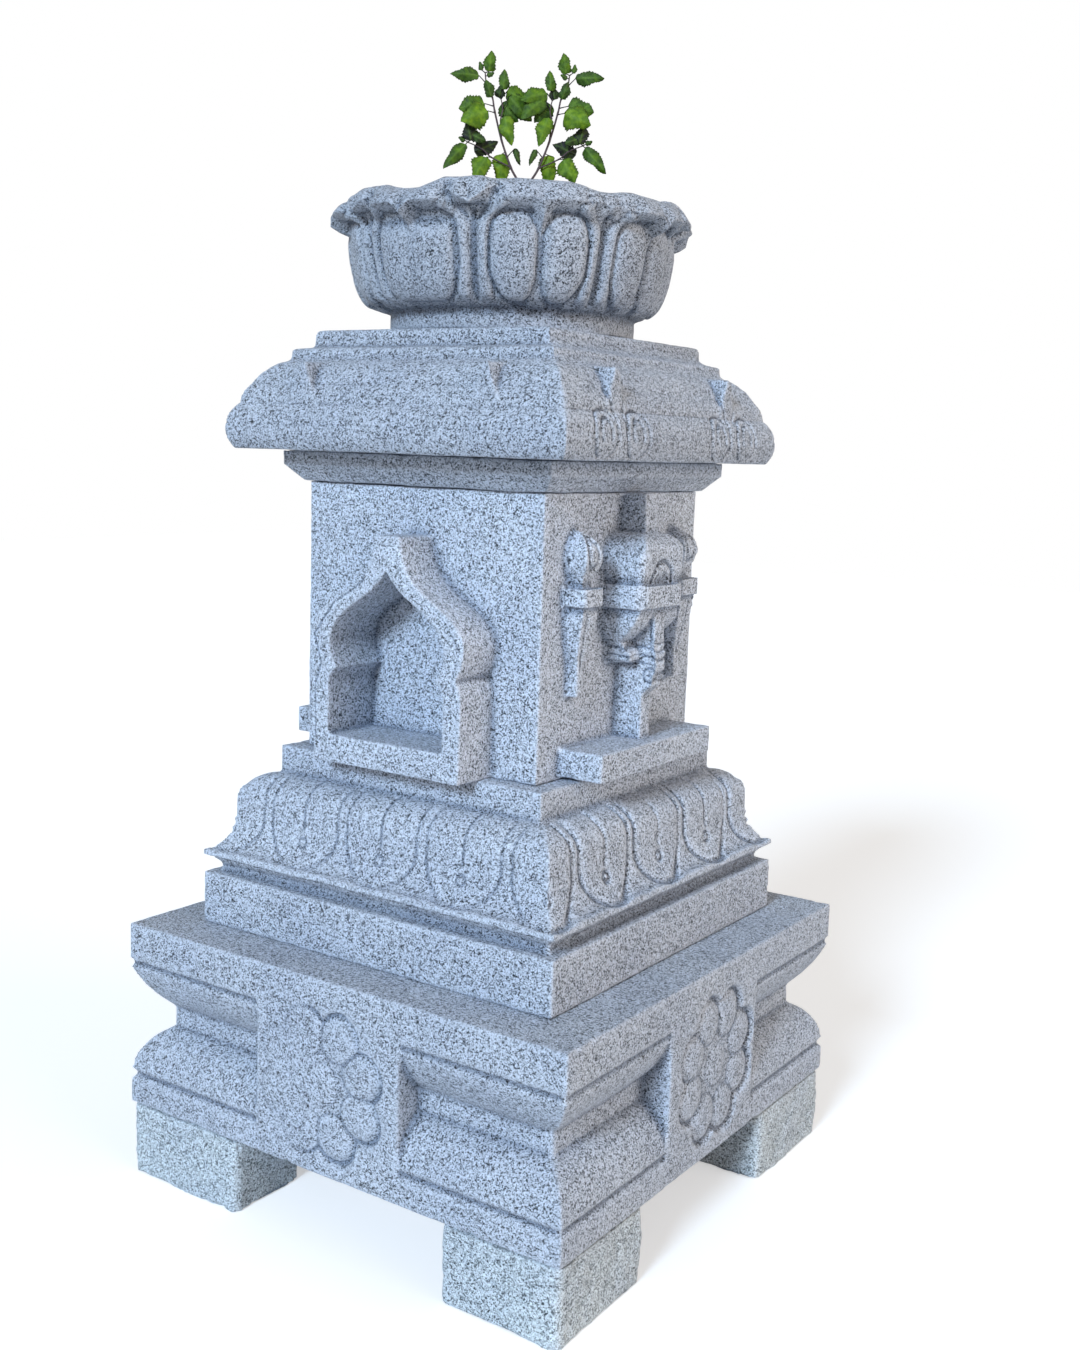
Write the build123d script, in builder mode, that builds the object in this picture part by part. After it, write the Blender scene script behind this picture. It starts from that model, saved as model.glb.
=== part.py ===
from build123d import *
import os
from math import cos, radians, sin

# Tulsi vrindavan: a dry-stacked granite planter on four rough foot blocks. From the ground up it is a
# moulded plinth, a lotus pedestal, a shaft with a lamp niche, a cornice slab, a curved eave stone and a
# lotus bowl with soil and a young tulsi plant. Steel dowels key the beds. Millimetres, +Z up, the niche faces
# -Y, and the origin is on the ground under the middle of the stack.

# ---------------------------------------------------------------- driving dimensions

# Foot blocks
foot_height = 87.0
foot_fillet = 9.0
foot_inset = 1.0
front_left_foot = (172.0, 108.0)
front_right_foot = (147.0, 164.0)
back_left_foot = (158.0, 150.0)
back_right_foot = (150.0, 172.0)

# Plinth: a square block, moulded at its corners, with a plain panel left standing on each side
base_width = 610.0
base_height = 219.0
panel_width = 201.0
neck_depth = 36.0
lower_band_height = 29.0
lower_groove_height = 36.0
lower_groove_depth = 6.0
bell_bottom = 41.0
bell_top = 91.0
neck_top = 117.0
ovolo_top = 167.0
upper_groove_top = 177.0
upper_groove_depth = 5.0
band_setback = 1.0
bell_bulge = 15.0
bell_bulge_height = 75.0
ovolo_bulge = 14.0
ovolo_bulge_height = 141.0

# Flower carved into each panel
flower_petals = 8
flower_ring_radius = 56.0
petal_half_length = 26.0
petal_half_width = 19.0
petal_relief = 8.0
petal_rounding = 5.0
flower_rim = 3.0
flower_boss_radius = 27.0
flower_height = 105.0
flower_turn = 15.0

# Lotus pedestal: bed slab, recessed groove, lip, bell and step
pedestal_slab_width = 491.0
pedestal_slab_height = 61.0
pedestal_groove_height = 20.0
pedestal_groove_depth = 15.0
bead_height = 5.0
bead_setback = 7.0
bead_slope_height = 6.0
lip_width = 488.0
lip_height = 7.0
bell_waist_width = 446.0
bell_waist_height = 58.0
bell_curve_height = 29.0
bell_curve_drop = 4.0
bell_shoulder_width = 390.0
bell_height = 98.0
step_width = 366.0
step_height = 31.0
lotus_line_width = 3.0
lotus_line_depth = 3.0

# Outline of a hanging lotus petal, as shares of its half width and of the bell's height
lotus_root_width_share = 0.86
lotus_middle_height_share = 0.6
lotus_side_width_share = 0.9
lotus_side_height_share = 0.3
lotus_end_width_share = 0.62
lotus_end_height_share = 0.12

# Shaft
shaft_width = 322.0
shaft_height = 305.0

# Lamp niche with an ogee head, in a surround that stands out of the front face
surround_depth = 58.0
surround_top_width = 34.0
surround_top = 254.0
surround_throat_width = 76.0
surround_throat = 206.0
surround_brow_width = 156.0
surround_brow = 179.0
surround_shoulder_width = 211.0
surround_shoulder = 142.0
surround_cusp_width = 190.0
surround_cusp = 110.0
surround_jamb_width = 206.0
surround_jamb = 86.0
surround_foot_width = 204.0
niche_depth = 79.0
niche_apex = 218.0
niche_throat_width = 84.0
niche_throat = 180.0
niche_shoulder_width = 156.0
niche_shoulder = 140.0
niche_cusp_width = 134.0
niche_cusp = 106.0
niche_jamb = 85.0
niche_sill_width = 158.0
niche_sill = 32.0
cusp_lobe_rise = 13.0
cusp_lobe_inset = 3.0
cusp_start_drop = 8.0

# Ledge and figures in relief on the other three faces
ledge_width = 241.0
ledge_height = 34.0
ledge_lift = 3.0
ledge_depth = 55.0
finial_width = 30.0
finial_depth = 36.0
finial_taper = 5.0
dome_width = 92.0
dome_depth = 52.0
dome_top = 263.0
dome_bottom = 208.0
dome_rounding = 15.0
dome_side_height = 25.0
dome_crown_width = 72.0
dome_crown_drop = 8.0
dome_crown_setback = 4.0
band_width = 96.0
band_depth = 54.0
band_bottom = 180.0
pot_bottom = 143.0
pot_foot_width = 70.0
pot_foot_depth = 20.0
pot_belly_width = 88.0
pot_belly_depth = 36.0
pot_belly_height = 13.0
fold_bottom = 119.0
fold_depth = 34.0
fold_taper = 4.0
fold_lip_height = 10.0
fin_thickness = 22.0
fin_waist_depth = 49.5
fin_waist_height = 160.0
fin_scroll_depth = 53.0
fin_scroll_head_setback = 3.0
fin_scroll_foot_setback = 6.0
fin_scroll_foot_rise = 10.0
fin_scroll_bottom = 84.0
fin_scroll_middle = 118.0
fin_scroll_top = 138.0
stem_depth = 36.0
arch_width = 46.0
arch_line = 3.0
emblem_spacing = 210.0
emblem_bud_width = 32.0
emblem_bud_depth = 28.0
emblem_bud_top = 267.0
emblem_bud_bottom = 218.0
emblem_neck_width = 20.0
emblem_neck_depth = 20.0
emblem_band_width = 38.0
emblem_band_depth = 30.0
emblem_band_top = 208.0
emblem_band_bottom = 185.0
emblem_body_width = 32.0
emblem_body_depth = 27.0
emblem_body_swell_width = 29.0
emblem_body_swell = 160.0
emblem_stem_width = 13.0
emblem_stem_depth = 15.0
emblem_stem_top = 124.0
emblem_stem_bottom = 89.0
emblem_rounding = 5.0

# Cornice slab
cornice_height = 34.0
cornice_foot_width = 332.0
cornice_width = 367.0
cornice_chamfer_height = 18.0

# Eave stone: rounded nose, fascia, curved back with flared ribs, and two steps
eave_height = 134.0
eave_foot_width = 442.0
eave_width = 458.0
eave_nose_height = 22.0
eave_nose_rounding = 2.0
fascia_width = 429.0
fascia_height = 48.0
fascia_swell = 4.0
eave_back_width = 415.0
eave_back_height = 73.0
eave_shoulder_width = 376.0
eave_shoulder_height = 96.0
lower_step_width = 356.0
lower_step_height = 113.0
upper_step_width = 318.0
step_rounding = 4.0
step_slope = 3.0
rib_spacing = 244.0
rib_reach_width = 438.0
rib_top_width = 9.0
rib_middle_width = 22.0
rib_foot_width = 42.0

# Lotus bowl
bowl_height = 147.0
bowl_neck_radius = 139.0
bowl_neck_height = 21.0
bowl_belly_radius = 187.0
bowl_belly_height = 72.0
bowl_turn_depth = 15.0
bowl_shoulder_radius = 190.0
bowl_shoulder_height = 110.0
bowl_lip_radius = 206.0
bowl_lip_height = 124.0
bowl_lip_underside = 4.0
bowl_fold_radius = 199.0
bowl_fold_height = 136.0
bowl_valley_radius = 191.0
bowl_rim_radius = 184.0
rim_thickness = 18.0
rim_rounding = 3.0
rim_inner_drop = 5.0
petal_shoulder_radius = 200.0
petal_shoulder_angle = 12.4
cavity_mouth_inset = 4.0
cavity_floor = 42.0
cavity_floor_radius = 118.0
bowl_petals = 8
boss_half_height = 42.0
boss_half_width = 26.0
boss_height = 68.0
boss_proud = 9.0
boss_spread = 8.6
weep_hole_radius = 6.0

# What the bowl holds
fill_clearance = 0.3
gravel_height = 16.0
soil_below_rim = 25.0

# Steel dowels
dowel_radius = 8.0
dowel_length = 70.0
dowel_radial_clearance = 0.4
dowel_end_clearance = 0.5

# How far a cut or a joined solid runs past the face that it starts from
overrun = 1.0

# Tulsi plant
plant_turn = 34.0
plant_offset = 8.0
plant_rise = 14.0
stem_radius = 1.5
branch_radius = 0.9
stem_root_depth = 30.0
stem_bend = 30.0
petiole_radius = 0.6
leaf_thickness = 0.8
leaf_widest_share = 0.4

# ---------------------------------------------------------------- levels, from the ground up

plinth_bed = foot_height
pedestal_bed = plinth_bed + base_height
pedestal_height = pedestal_slab_height + pedestal_groove_height + bell_height + step_height
shaft_bed = pedestal_bed + pedestal_height
cornice_bed = shaft_bed + shaft_height
eave_bed = cornice_bed + cornice_height
bowl_bed = eave_bed + eave_height
rim_top = bowl_bed + bowl_height
gravel_bed = bowl_bed + cavity_floor
soil_bed = gravel_bed + gravel_height
soil_top = rim_top - soil_below_rim

os.makedirs("parts", exist_ok=True)


# ---------------------------------------------------------------- helpers

def square_section(plane, draw_half_outline):
    """Closed upright section of a square stone, from the half outline that runs from axis to axis."""
    with BuildSketch(plane) as section:
        with BuildLine():
            draw_half_outline()
            mirror(about=Plane.YZ)
        make_face()
    return section.sketch


def drill_dowel_hole(bed, length):
    """Hole for a dowel centred on a bed, with its end clearance above it."""
    with Locations((0, 0, bed - length / 2)):
        Cylinder(
            dowel_radius + dowel_radial_clearance,
            length + dowel_end_clearance,
            align=(Align.CENTER, Align.CENTER, Align.MIN),
            mode=Mode.SUBTRACT,
        )


def finish(builder, name):
    """Label a finished piece and write its file."""
    builder.part.label = name
    export_step(builder.part, f"parts/{name}.step")


# ---------------------------------------------------------------- foot blocks

def place_foot(size, side, end):
    """Rough block under one corner of the plinth, with its outer faces just inside the plinth's."""
    width, depth = size
    corner = base_width / 2 - foot_inset
    with Locations((side * (corner - width / 2), end * (corner - depth / 2), 0)):
        Box(width, depth, foot_height, align=(Align.CENTER, Align.CENTER, Align.MIN))


with BuildPart() as foot_front_left:
    place_foot(front_left_foot, -1, -1)
    fillet(foot_front_left.edges().filter_by(Axis.Z), foot_fillet)
finish(foot_front_left, "foot_front_left")

with BuildPart() as foot_front_right:
    place_foot(front_right_foot, 1, -1)
    fillet(foot_front_right.edges().filter_by(Axis.Z), foot_fillet)
finish(foot_front_right, "foot_front_right")

with BuildPart() as foot_back_left:
    place_foot(back_left_foot, -1, 1)
    fillet(foot_back_left.edges().filter_by(Axis.Z), foot_fillet)
finish(foot_back_left, "foot_back_left")

with BuildPart() as foot_back_right:
    place_foot(back_right_foot, 1, 1)
    fillet(foot_back_right.edges().filter_by(Axis.Z), foot_fillet)
finish(foot_back_right, "foot_back_right")


# ---------------------------------------------------------------- plinth

def plinth_outline():
    """Corner moulding: band, groove, bell, neck, ovolo, groove and top slab."""
    face = base_width / 2
    neck = face - neck_depth
    band = face - band_setback
    bell_middle = (face - bell_bulge, plinth_bed + bell_bulge_height)
    ovolo_middle = (face - ovolo_bulge, plinth_bed + ovolo_bulge_height)
    groove_middle = (ovolo_top + upper_groove_top) / 2
    Polyline(
        (0, plinth_bed),
        (face, plinth_bed),
        (face, plinth_bed + lower_band_height),
        (face - lower_groove_depth, plinth_bed + lower_groove_height),
        (band, plinth_bed + bell_bottom),
    )
    ThreePointArc((band, plinth_bed + bell_bottom), bell_middle, (neck, plinth_bed + bell_top))
    Line((neck, plinth_bed + bell_top), (neck, plinth_bed + neck_top))
    ThreePointArc((neck, plinth_bed + neck_top), ovolo_middle, (band, plinth_bed + ovolo_top))
    Polyline(
        (band, plinth_bed + ovolo_top),
        (face - upper_groove_depth, plinth_bed + groove_middle),
        (face, plinth_bed + upper_groove_top),
        (face, pedestal_bed),
        (0, pedestal_bed),
    )


# Flower for the front panel: a sunk, scalloped bed with rounded petals and a boss that rise to the face
flower_plane = Plane(
    origin=(0, -base_width / 2 + petal_relief, plinth_bed + flower_height),
    x_dir=(1, 0, 0),
    z_dir=(0, -1, 0),
)

with BuildPart() as flower_bed:
    with BuildSketch(flower_plane):
        with PolarLocations(flower_ring_radius, flower_petals, start_angle=flower_turn):
            Ellipse(petal_half_length + flower_rim, petal_half_width + flower_rim)
        Circle(flower_ring_radius)
    extrude(amount=petal_relief + overrun)

with BuildPart() as flower:
    with BuildSketch(flower_plane):
        with PolarLocations(flower_ring_radius, flower_petals, start_angle=flower_turn):
            Ellipse(petal_half_length, petal_half_width)
        Circle(flower_boss_radius + flower_rim, mode=Mode.SUBTRACT)
        Circle(flower_boss_radius)
    extrude(amount=petal_relief)
    fillet(flower.faces().filter_by(Axis.Y).group_by(Axis.Y)[0].edges(), petal_rounding)

with BuildPart() as base_plinth:
    extrude(square_section(Plane.XZ, plinth_outline), amount=base_width / 2, both=True)
    extrude(
        square_section(Plane.YZ, plinth_outline), amount=base_width / 2, both=True, mode=Mode.INTERSECT
    )
    with Locations((0, 0, plinth_bed)):
        Box(base_width, panel_width, base_height, align=(Align.CENTER, Align.CENTER, Align.MIN))
        Box(panel_width, base_width, base_height, align=(Align.CENTER, Align.CENTER, Align.MIN))
    with PolarLocations(0, 4):
        add(flower_bed.part, mode=Mode.SUBTRACT)
        add(flower.part)
    drill_dowel_hole(pedestal_bed, dowel_length)
finish(base_plinth, "base_plinth")


# ---------------------------------------------------------------- lotus pedestal

bell_bed = pedestal_bed + pedestal_slab_height + pedestal_groove_height
bell_top_level = bell_bed + bell_height


def draw_bell(skin):
    """Bell side from lip to step, drawn a skin thickness inside the finished face."""
    lip = lip_width / 2 - skin
    curve = (bell_waist_width / 2 - skin, bell_bed + bell_curve_height)
    waist = (curve[0] - bell_curve_drop, bell_bed + bell_waist_height)
    shoulder = (bell_shoulder_width / 2 - skin, bell_top_level - lotus_line_depth)
    step_side = step_width / 2 - skin
    Line((lip, bell_bed), (lip, bell_bed + lip_height))
    Spline(
        (lip, bell_bed + lip_height),
        curve,
        waist,
        shoulder,
        tangents=((-1, 0.25), (-1, 0.45)),
    )
    Line(shoulder, (step_side, bell_top_level))


def pedestal_outline():
    """Bed slab, groove, lotus bell and step."""
    slab = pedestal_slab_width / 2
    groove = slab - pedestal_groove_depth
    slab_top = pedestal_bed + pedestal_slab_height
    bead = lip_width / 2 - bead_setback
    bead_bottom = bell_bed - bead_height
    Polyline(
        (0, pedestal_bed),
        (slab, pedestal_bed),
        (slab, slab_top),
        (groove, slab_top),
        (groove, bead_bottom - bead_slope_height),
        (bead, bead_bottom),
        (bead, bell_bed),
        (lip_width / 2, bell_bed),
    )
    draw_bell(0)
    Polyline((step_width / 2, bell_top_level), (step_width / 2, shaft_bed), (0, shaft_bed))


def pedestal_core_outline():
    """The same bell under the carved skin."""
    Line((0, bell_bed), (lip_width / 2 - lotus_line_depth, bell_bed))
    draw_bell(lotus_line_depth)
    Line((step_width / 2 - lotus_line_depth, bell_top_level), (0, bell_top_level))


# The corner petals are centred on the corner, so the pitch is half the bell's half width
lotus_pitch = bell_waist_width / 4
lotus_half_width = lotus_pitch / 2 - lotus_line_width


def draw_lotus_petal():
    """Hanging petal of the front face, with its root at the step and its rounded end at the lip."""
    root = (lotus_half_width * lotus_root_width_share, bell_height)
    middle = (lotus_half_width, bell_height * lotus_middle_height_share)
    side = (lotus_half_width * lotus_side_width_share, bell_height * lotus_side_height_share)
    end = (lotus_half_width * lotus_end_width_share, bell_height * lotus_end_height_share)
    Line((0, bell_height), root)
    ThreePointArc(root, middle, side)
    ThreePointArc(side, end, (0, lip_height))
    mirror(about=Plane.YZ)


with BuildSketch(Plane.XZ) as lotus_petal_line:
    with BuildLine():
        draw_lotus_petal()
    make_face()
    offset(amount=-lotus_line_width, mode=Mode.SUBTRACT)

with BuildPart() as pedestal_core:
    extrude(square_section(Plane.XZ, pedestal_core_outline), amount=lip_width, both=True)
    extrude(
        square_section(Plane.YZ, pedestal_core_outline), amount=lip_width, both=True, mode=Mode.INTERSECT
    )

with BuildPart() as lotus_lines:
    with BuildSketch(Plane.XZ.offset(step_width / 2 - lotus_line_depth)):
        with Locations(*[(n * lotus_pitch, bell_bed) for n in (-2, -1, 0, 1, 2)]):
            add(lotus_petal_line.sketch_local)
    extrude(amount=lip_width)
    with BuildSketch(Plane.XY.offset(bell_bed)):
        Polygon((0, 0), (lip_width, -lip_width), (-lip_width, -lip_width), align=None)
    extrude(amount=bell_height, mode=Mode.INTERSECT)
    add(pedestal_core.part, mode=Mode.SUBTRACT)

with BuildPart() as padma_pedestal:
    extrude(square_section(Plane.XZ, pedestal_outline), amount=lip_width, both=True)
    extrude(square_section(Plane.YZ, pedestal_outline), amount=lip_width, both=True, mode=Mode.INTERSECT)
    with PolarLocations(0, 4):
        add(lotus_lines.part, mode=Mode.SUBTRACT)
    drill_dowel_hole(pedestal_bed, dowel_length)
    drill_dowel_hole(shaft_bed, dowel_length)
finish(padma_pedestal, "padma_pedestal")


# ---------------------------------------------------------------- shaft

front_face = shaft_width / 2


def draw_surround():
    """Half outline of the niche surround, from its foot up to its flat top."""
    jamb = (surround_jamb_width / 2, surround_jamb)
    cusp = (surround_cusp_width / 2, surround_cusp)
    cusp_start = (jamb[0] - cusp_lobe_inset, surround_cusp - cusp_start_drop)
    shoulder = (surround_shoulder_width / 2, surround_shoulder)
    lobe = (shoulder[0] - cusp_lobe_inset, surround_cusp + cusp_lobe_rise)
    brow = (surround_brow_width / 2, surround_brow)
    throat = (surround_throat_width / 2, surround_throat)
    top = (surround_top_width / 2, surround_top)
    Polyline((0, 0), (surround_foot_width / 2, 0), jamb)
    ThreePointArc(jamb, cusp_start, cusp)
    ThreePointArc(cusp, lobe, shoulder)
    Spline(shoulder, brow, throat, top, tangents=((-0.15, 1), (-0.15, 1)))
    Line(top, (0, surround_top))


def draw_niche():
    """Half outline of the niche mouth: straight jambs, a cusp, a rounded shoulder and an ogee point."""
    jamb = (niche_sill_width / 2, niche_jamb)
    cusp = (niche_cusp_width / 2, niche_cusp)
    cusp_start = (jamb[0] - cusp_lobe_inset, niche_cusp - cusp_start_drop)
    shoulder = (niche_shoulder_width / 2, niche_shoulder)
    lobe = (shoulder[0] - cusp_lobe_inset, niche_cusp + cusp_lobe_rise)
    Polyline((0, niche_sill), (niche_sill_width / 2, niche_sill), jamb)
    ThreePointArc(jamb, cusp_start, cusp)
    ThreePointArc(cusp, lobe, shoulder)
    throat = (niche_throat_width / 2, niche_throat)
    Spline(shoulder, throat, (0, niche_apex), tangents=((-0.3, 1), (-0.45, 1)))


def mirrored_face(draw_half_outline):
    """Symmetric face on the upright plane, drawn from the shaft's bed."""
    with BuildSketch() as face:
        with BuildLine():
            draw_half_outline()
            mirror(about=Plane.YZ)
        make_face()
    return face.sketch


# The figures are drawn on the +X face: the breadth outline is seen from the front, and the depth outline
# from the side, in a plane that starts where the face meets the bed
relief_side = Plane(origin=(front_face, 0, shaft_bed), x_dir=(1, 0, 0), z_dir=(0, -1, 0))


def draw_figure_breadth():
    """Finial, dome, band, pot and folds from the front."""
    dome = dome_width / 2
    pot_foot = (pot_foot_width / 2, pot_bottom)
    dome_side = (dome, dome_bottom + dome_side_height)
    Polyline(
        (0, fold_bottom),
        (pot_foot_width / 2 - fold_taper, fold_bottom),
        (pot_foot_width / 2, fold_bottom + fold_lip_height),
        pot_foot,
    )
    ThreePointArc(pot_foot, (pot_belly_width / 2, pot_bottom + pot_belly_height), (dome, band_bottom))
    Polyline(
        (dome, band_bottom),
        (band_width / 2, band_bottom),
        (band_width / 2, dome_bottom),
        (dome, dome_bottom),
        dome_side,
    )
    crown = (dome_crown_width / 2, dome_top - dome_crown_drop)
    finial = (finial_width / 2, dome_top)
    ThreePointArc(dome_side, crown, finial)
    Polyline(finial, (finial_width / 2 - finial_taper, shaft_height), (0, shaft_height))


def figure_depth():
    """The same from the side, as a closed sketch that starts behind the shaft's face."""
    pot_foot = (pot_foot_depth, pot_bottom)
    pot_belly = (pot_belly_depth, pot_bottom + pot_belly_height)
    dome_side = (dome_depth, dome_bottom + dome_side_height)
    with BuildSketch(relief_side) as side:
        with BuildLine():
            Polyline(
                (finial_depth - finial_taper, shaft_height),
                (-overrun, shaft_height),
                (-overrun, fold_bottom),
                (fold_depth - fold_taper, fold_bottom),
                (fold_depth, fold_bottom + fold_lip_height),
                pot_foot,
            )
            ThreePointArc(pot_foot, pot_belly, (dome_depth, band_bottom))
            Polyline(
                (dome_depth, band_bottom),
                (band_depth, band_bottom),
                (band_depth, dome_bottom),
                (dome_depth, dome_bottom),
                dome_side,
            )
            ThreePointArc(
                dome_side,
                (dome_depth - dome_crown_setback, dome_top - dome_crown_drop),
                (finial_depth, dome_top),
            )
            Line((finial_depth, dome_top), (finial_depth - finial_taper, shaft_height))
        make_face()
    return side.sketch


def fin_outline():
    """Side view of the fin under the pot: it falls from the band to a scroll that overhangs a stem."""
    scroll_foot = (fin_scroll_depth - fin_scroll_foot_setback, fin_scroll_bottom + fin_scroll_foot_rise)
    scroll_head = (fin_scroll_depth - fin_scroll_head_setback, fin_scroll_top)
    with BuildSketch(relief_side) as side:
        with BuildLine():
            Polyline(
                (band_depth, dome_bottom),
                (-overrun, dome_bottom),
                (-overrun, ledge_height),
                (stem_depth, ledge_height),
                (stem_depth, fin_scroll_bottom),
                scroll_foot,
            )
            ThreePointArc(scroll_foot, (fin_scroll_depth, fin_scroll_middle), scroll_head)
            ThreePointArc(scroll_head, (fin_waist_depth, fin_waist_height), (band_depth, dome_bottom))
        make_face()
    return side.sketch


with BuildPart() as figure:
    with BuildSketch(Plane.YZ):
        with Locations((0, shaft_bed)):
            add(mirrored_face(draw_figure_breadth))
    extrude(amount=shaft_width)
    extrude(figure_depth(), amount=band_width, both=True, mode=Mode.INTERSECT)
    with BuildSketch(Plane.XY.offset(shaft_bed)):
        with Locations((front_face, 0)):
            RectangleRounded(band_depth * 2, band_width, dome_rounding)
    extrude(amount=shaft_height, mode=Mode.INTERSECT)
    extrude(fin_outline(), amount=fin_thickness / 2, both=True)
    with BuildSketch(Plane.YZ.offset(front_face + dome_depth - arch_line)):
        with Locations((0, shaft_bed + dome_bottom)):
            Circle(arch_width / 2)
            Circle(arch_width / 2 - arch_line, mode=Mode.SUBTRACT)
            Rectangle(arch_width, arch_width, align=(Align.CENTER, Align.MAX), mode=Mode.SUBTRACT)
    extrude(amount=arch_line * 2, mode=Mode.SUBTRACT)


def draw_emblem():
    """Half outline of a side emblem: thin stem, tapering body, band, neck and bud."""
    stem = emblem_stem_width / 2
    body = emblem_body_width / 2
    band = emblem_band_width / 2
    neck = emblem_neck_width / 2
    bud = emblem_bud_width / 2
    Polyline((0, emblem_stem_bottom), (stem, emblem_stem_bottom), (stem, emblem_stem_top))
    ThreePointArc(
        (stem, emblem_stem_top),
        (emblem_body_swell_width / 2, emblem_body_swell),
        (body, emblem_band_bottom),
    )
    Polyline(
        (body, emblem_band_bottom),
        (band, emblem_band_bottom),
        (band, emblem_band_top),
        (neck, emblem_band_top),
        (neck, emblem_bud_bottom),
    )
    bud_middle = (bud, (emblem_bud_bottom + emblem_bud_top) / 2)
    ThreePointArc((neck, emblem_bud_bottom), bud_middle, (0, emblem_bud_top))


def emblem_depth():
    """Side view of the emblem."""
    with BuildSketch(relief_side) as side:
        with BuildLine():
            Polyline(
                (-overrun, emblem_bud_top),
                (-overrun, emblem_stem_bottom),
                (emblem_stem_depth, emblem_stem_bottom),
                (emblem_stem_depth, emblem_stem_top),
                (emblem_body_depth, emblem_band_bottom),
                (emblem_band_depth, emblem_band_bottom),
                (emblem_band_depth, emblem_band_top),
                (emblem_neck_depth, emblem_band_top),
                (emblem_neck_depth, emblem_bud_bottom),
            )
            ThreePointArc(
                (emblem_neck_depth, emblem_bud_bottom),
                (emblem_bud_depth, (emblem_bud_bottom + emblem_bud_top) / 2),
                (-overrun, emblem_bud_top),
            )
        make_face()
    return side.sketch


with BuildPart() as emblem:
    with BuildSketch(Plane.YZ):
        with Locations((0, shaft_bed)):
            add(mirrored_face(draw_emblem))
    extrude(amount=shaft_width)
    extrude(emblem_depth(), amount=emblem_band_width, both=True, mode=Mode.INTERSECT)
    with BuildSketch(Plane.XY.offset(shaft_bed)):
        with Locations((front_face, 0)):
            RectangleRounded(emblem_band_depth * 2, emblem_band_width, emblem_rounding)
    extrude(amount=shaft_height, mode=Mode.INTERSECT)

with BuildPart() as relief:
    add(figure.part)
    with Locations((0, -emblem_spacing / 2, 0), (0, emblem_spacing / 2, 0)):
        add(emblem.part)
    with Locations((front_face - overrun, 0, shaft_bed + ledge_lift)):
        Box(
            ledge_depth + overrun,
            ledge_width,
            ledge_height - ledge_lift,
            align=(Align.MIN, Align.CENTER, Align.MIN),
        )

with BuildPart() as shaft:
    with Locations((0, 0, shaft_bed)):
        Box(shaft_width, shaft_width, shaft_height, align=(Align.CENTER, Align.CENTER, Align.MIN))
    with PolarLocations(0, 3, start_angle=0, angular_range=180, endpoint=True):
        add(relief.part)
    with BuildSketch(Plane((0, overrun - front_face, shaft_bed), x_dir=(1, 0, 0), z_dir=(0, -1, 0))):
        add(mirrored_face(draw_surround))
    extrude(amount=surround_depth + overrun)
    with BuildSketch(Plane((0, -front_face - surround_depth, shaft_bed), x_dir=(1, 0, 0), z_dir=(0, -1, 0))):
        add(mirrored_face(draw_niche))
    extrude(amount=-niche_depth, mode=Mode.SUBTRACT)
    drill_dowel_hole(shaft_bed, dowel_length)
    drill_dowel_hole(eave_bed - cornice_height / 2, dowel_length + cornice_height)
finish(shaft, "shaft")


# ---------------------------------------------------------------- cornice slab

def cornice_outline():
    """Slab that widens upwards by a chamfer."""
    foot = cornice_foot_width / 2
    face = cornice_width / 2
    Polyline(
        (0, cornice_bed),
        (foot, cornice_bed),
        (face, cornice_bed + cornice_chamfer_height),
        (face, eave_bed),
        (0, eave_bed),
    )


with BuildPart() as cornice_slab:
    extrude(square_section(Plane.XZ, cornice_outline), amount=cornice_width, both=True)
    extrude(square_section(Plane.YZ, cornice_outline), amount=cornice_width, both=True, mode=Mode.INTERSECT)
    drill_dowel_hole(eave_bed - cornice_height / 2, dowel_length + cornice_height)
finish(cornice_slab, "cornice_slab")


# ---------------------------------------------------------------- eave stone

def round_corner(corner):
    """Worn outer edge of a step: an arc from the side to the top, inside the corner between them."""
    side, top = corner
    middle = step_rounding * (1 - sin(radians(45)))
    ThreePointArc((side, top - step_rounding), (side - middle, top - middle), (side - step_rounding, top))


def eave_outline():
    """Rounded nose, fascia, curved back and two steps under the bowl."""
    foot = (eave_foot_width / 2, eave_bed)
    nose = (eave_width / 2, eave_bed + eave_nose_height)
    below_nose = (nose[0] - eave_nose_rounding, eave_bed + eave_nose_height / 2)
    above_nose = (nose[0] - fascia_swell, eave_bed + (eave_nose_height + fascia_height) / 2)
    fascia = (fascia_width / 2, eave_bed + fascia_height)
    back = (eave_back_width / 2, eave_bed + eave_back_height)
    shoulder = (eave_shoulder_width / 2, eave_bed + eave_shoulder_height)
    lower_step = lower_step_width / 2
    upper_step = upper_step_width / 2
    lower_top = eave_bed + lower_step_height
    Line((0, eave_bed), foot)
    ThreePointArc(foot, below_nose, nose)
    ThreePointArc(nose, above_nose, fascia)
    ThreePointArc(fascia, back, shoulder)
    Polyline(shoulder, (lower_step, shoulder[1] + step_slope), (lower_step, lower_top - step_rounding))
    round_corner((lower_step, lower_top))
    Line((lower_step - step_rounding, lower_top), (upper_step, lower_top))
    Line((upper_step, lower_top), (upper_step, bowl_bed - step_rounding))
    round_corner((upper_step, bowl_bed))
    Line((upper_step - step_rounding, bowl_bed), (0, bowl_bed))


rib_top = eave_bed + eave_shoulder_height
rib_foot = eave_bed + fascia_height


def draw_rib():
    """Half outline of a rib from the front: narrow at its top, flared where it runs out on the fascia."""
    top = (rib_top_width / 2, rib_top)
    middle = (rib_middle_width / 2, (rib_top + rib_foot) / 2)
    foot = (rib_foot_width / 2, rib_foot)
    Polyline((0, rib_foot), foot)
    ThreePointArc(foot, middle, top)
    Line(top, (0, rib_top))


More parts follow.
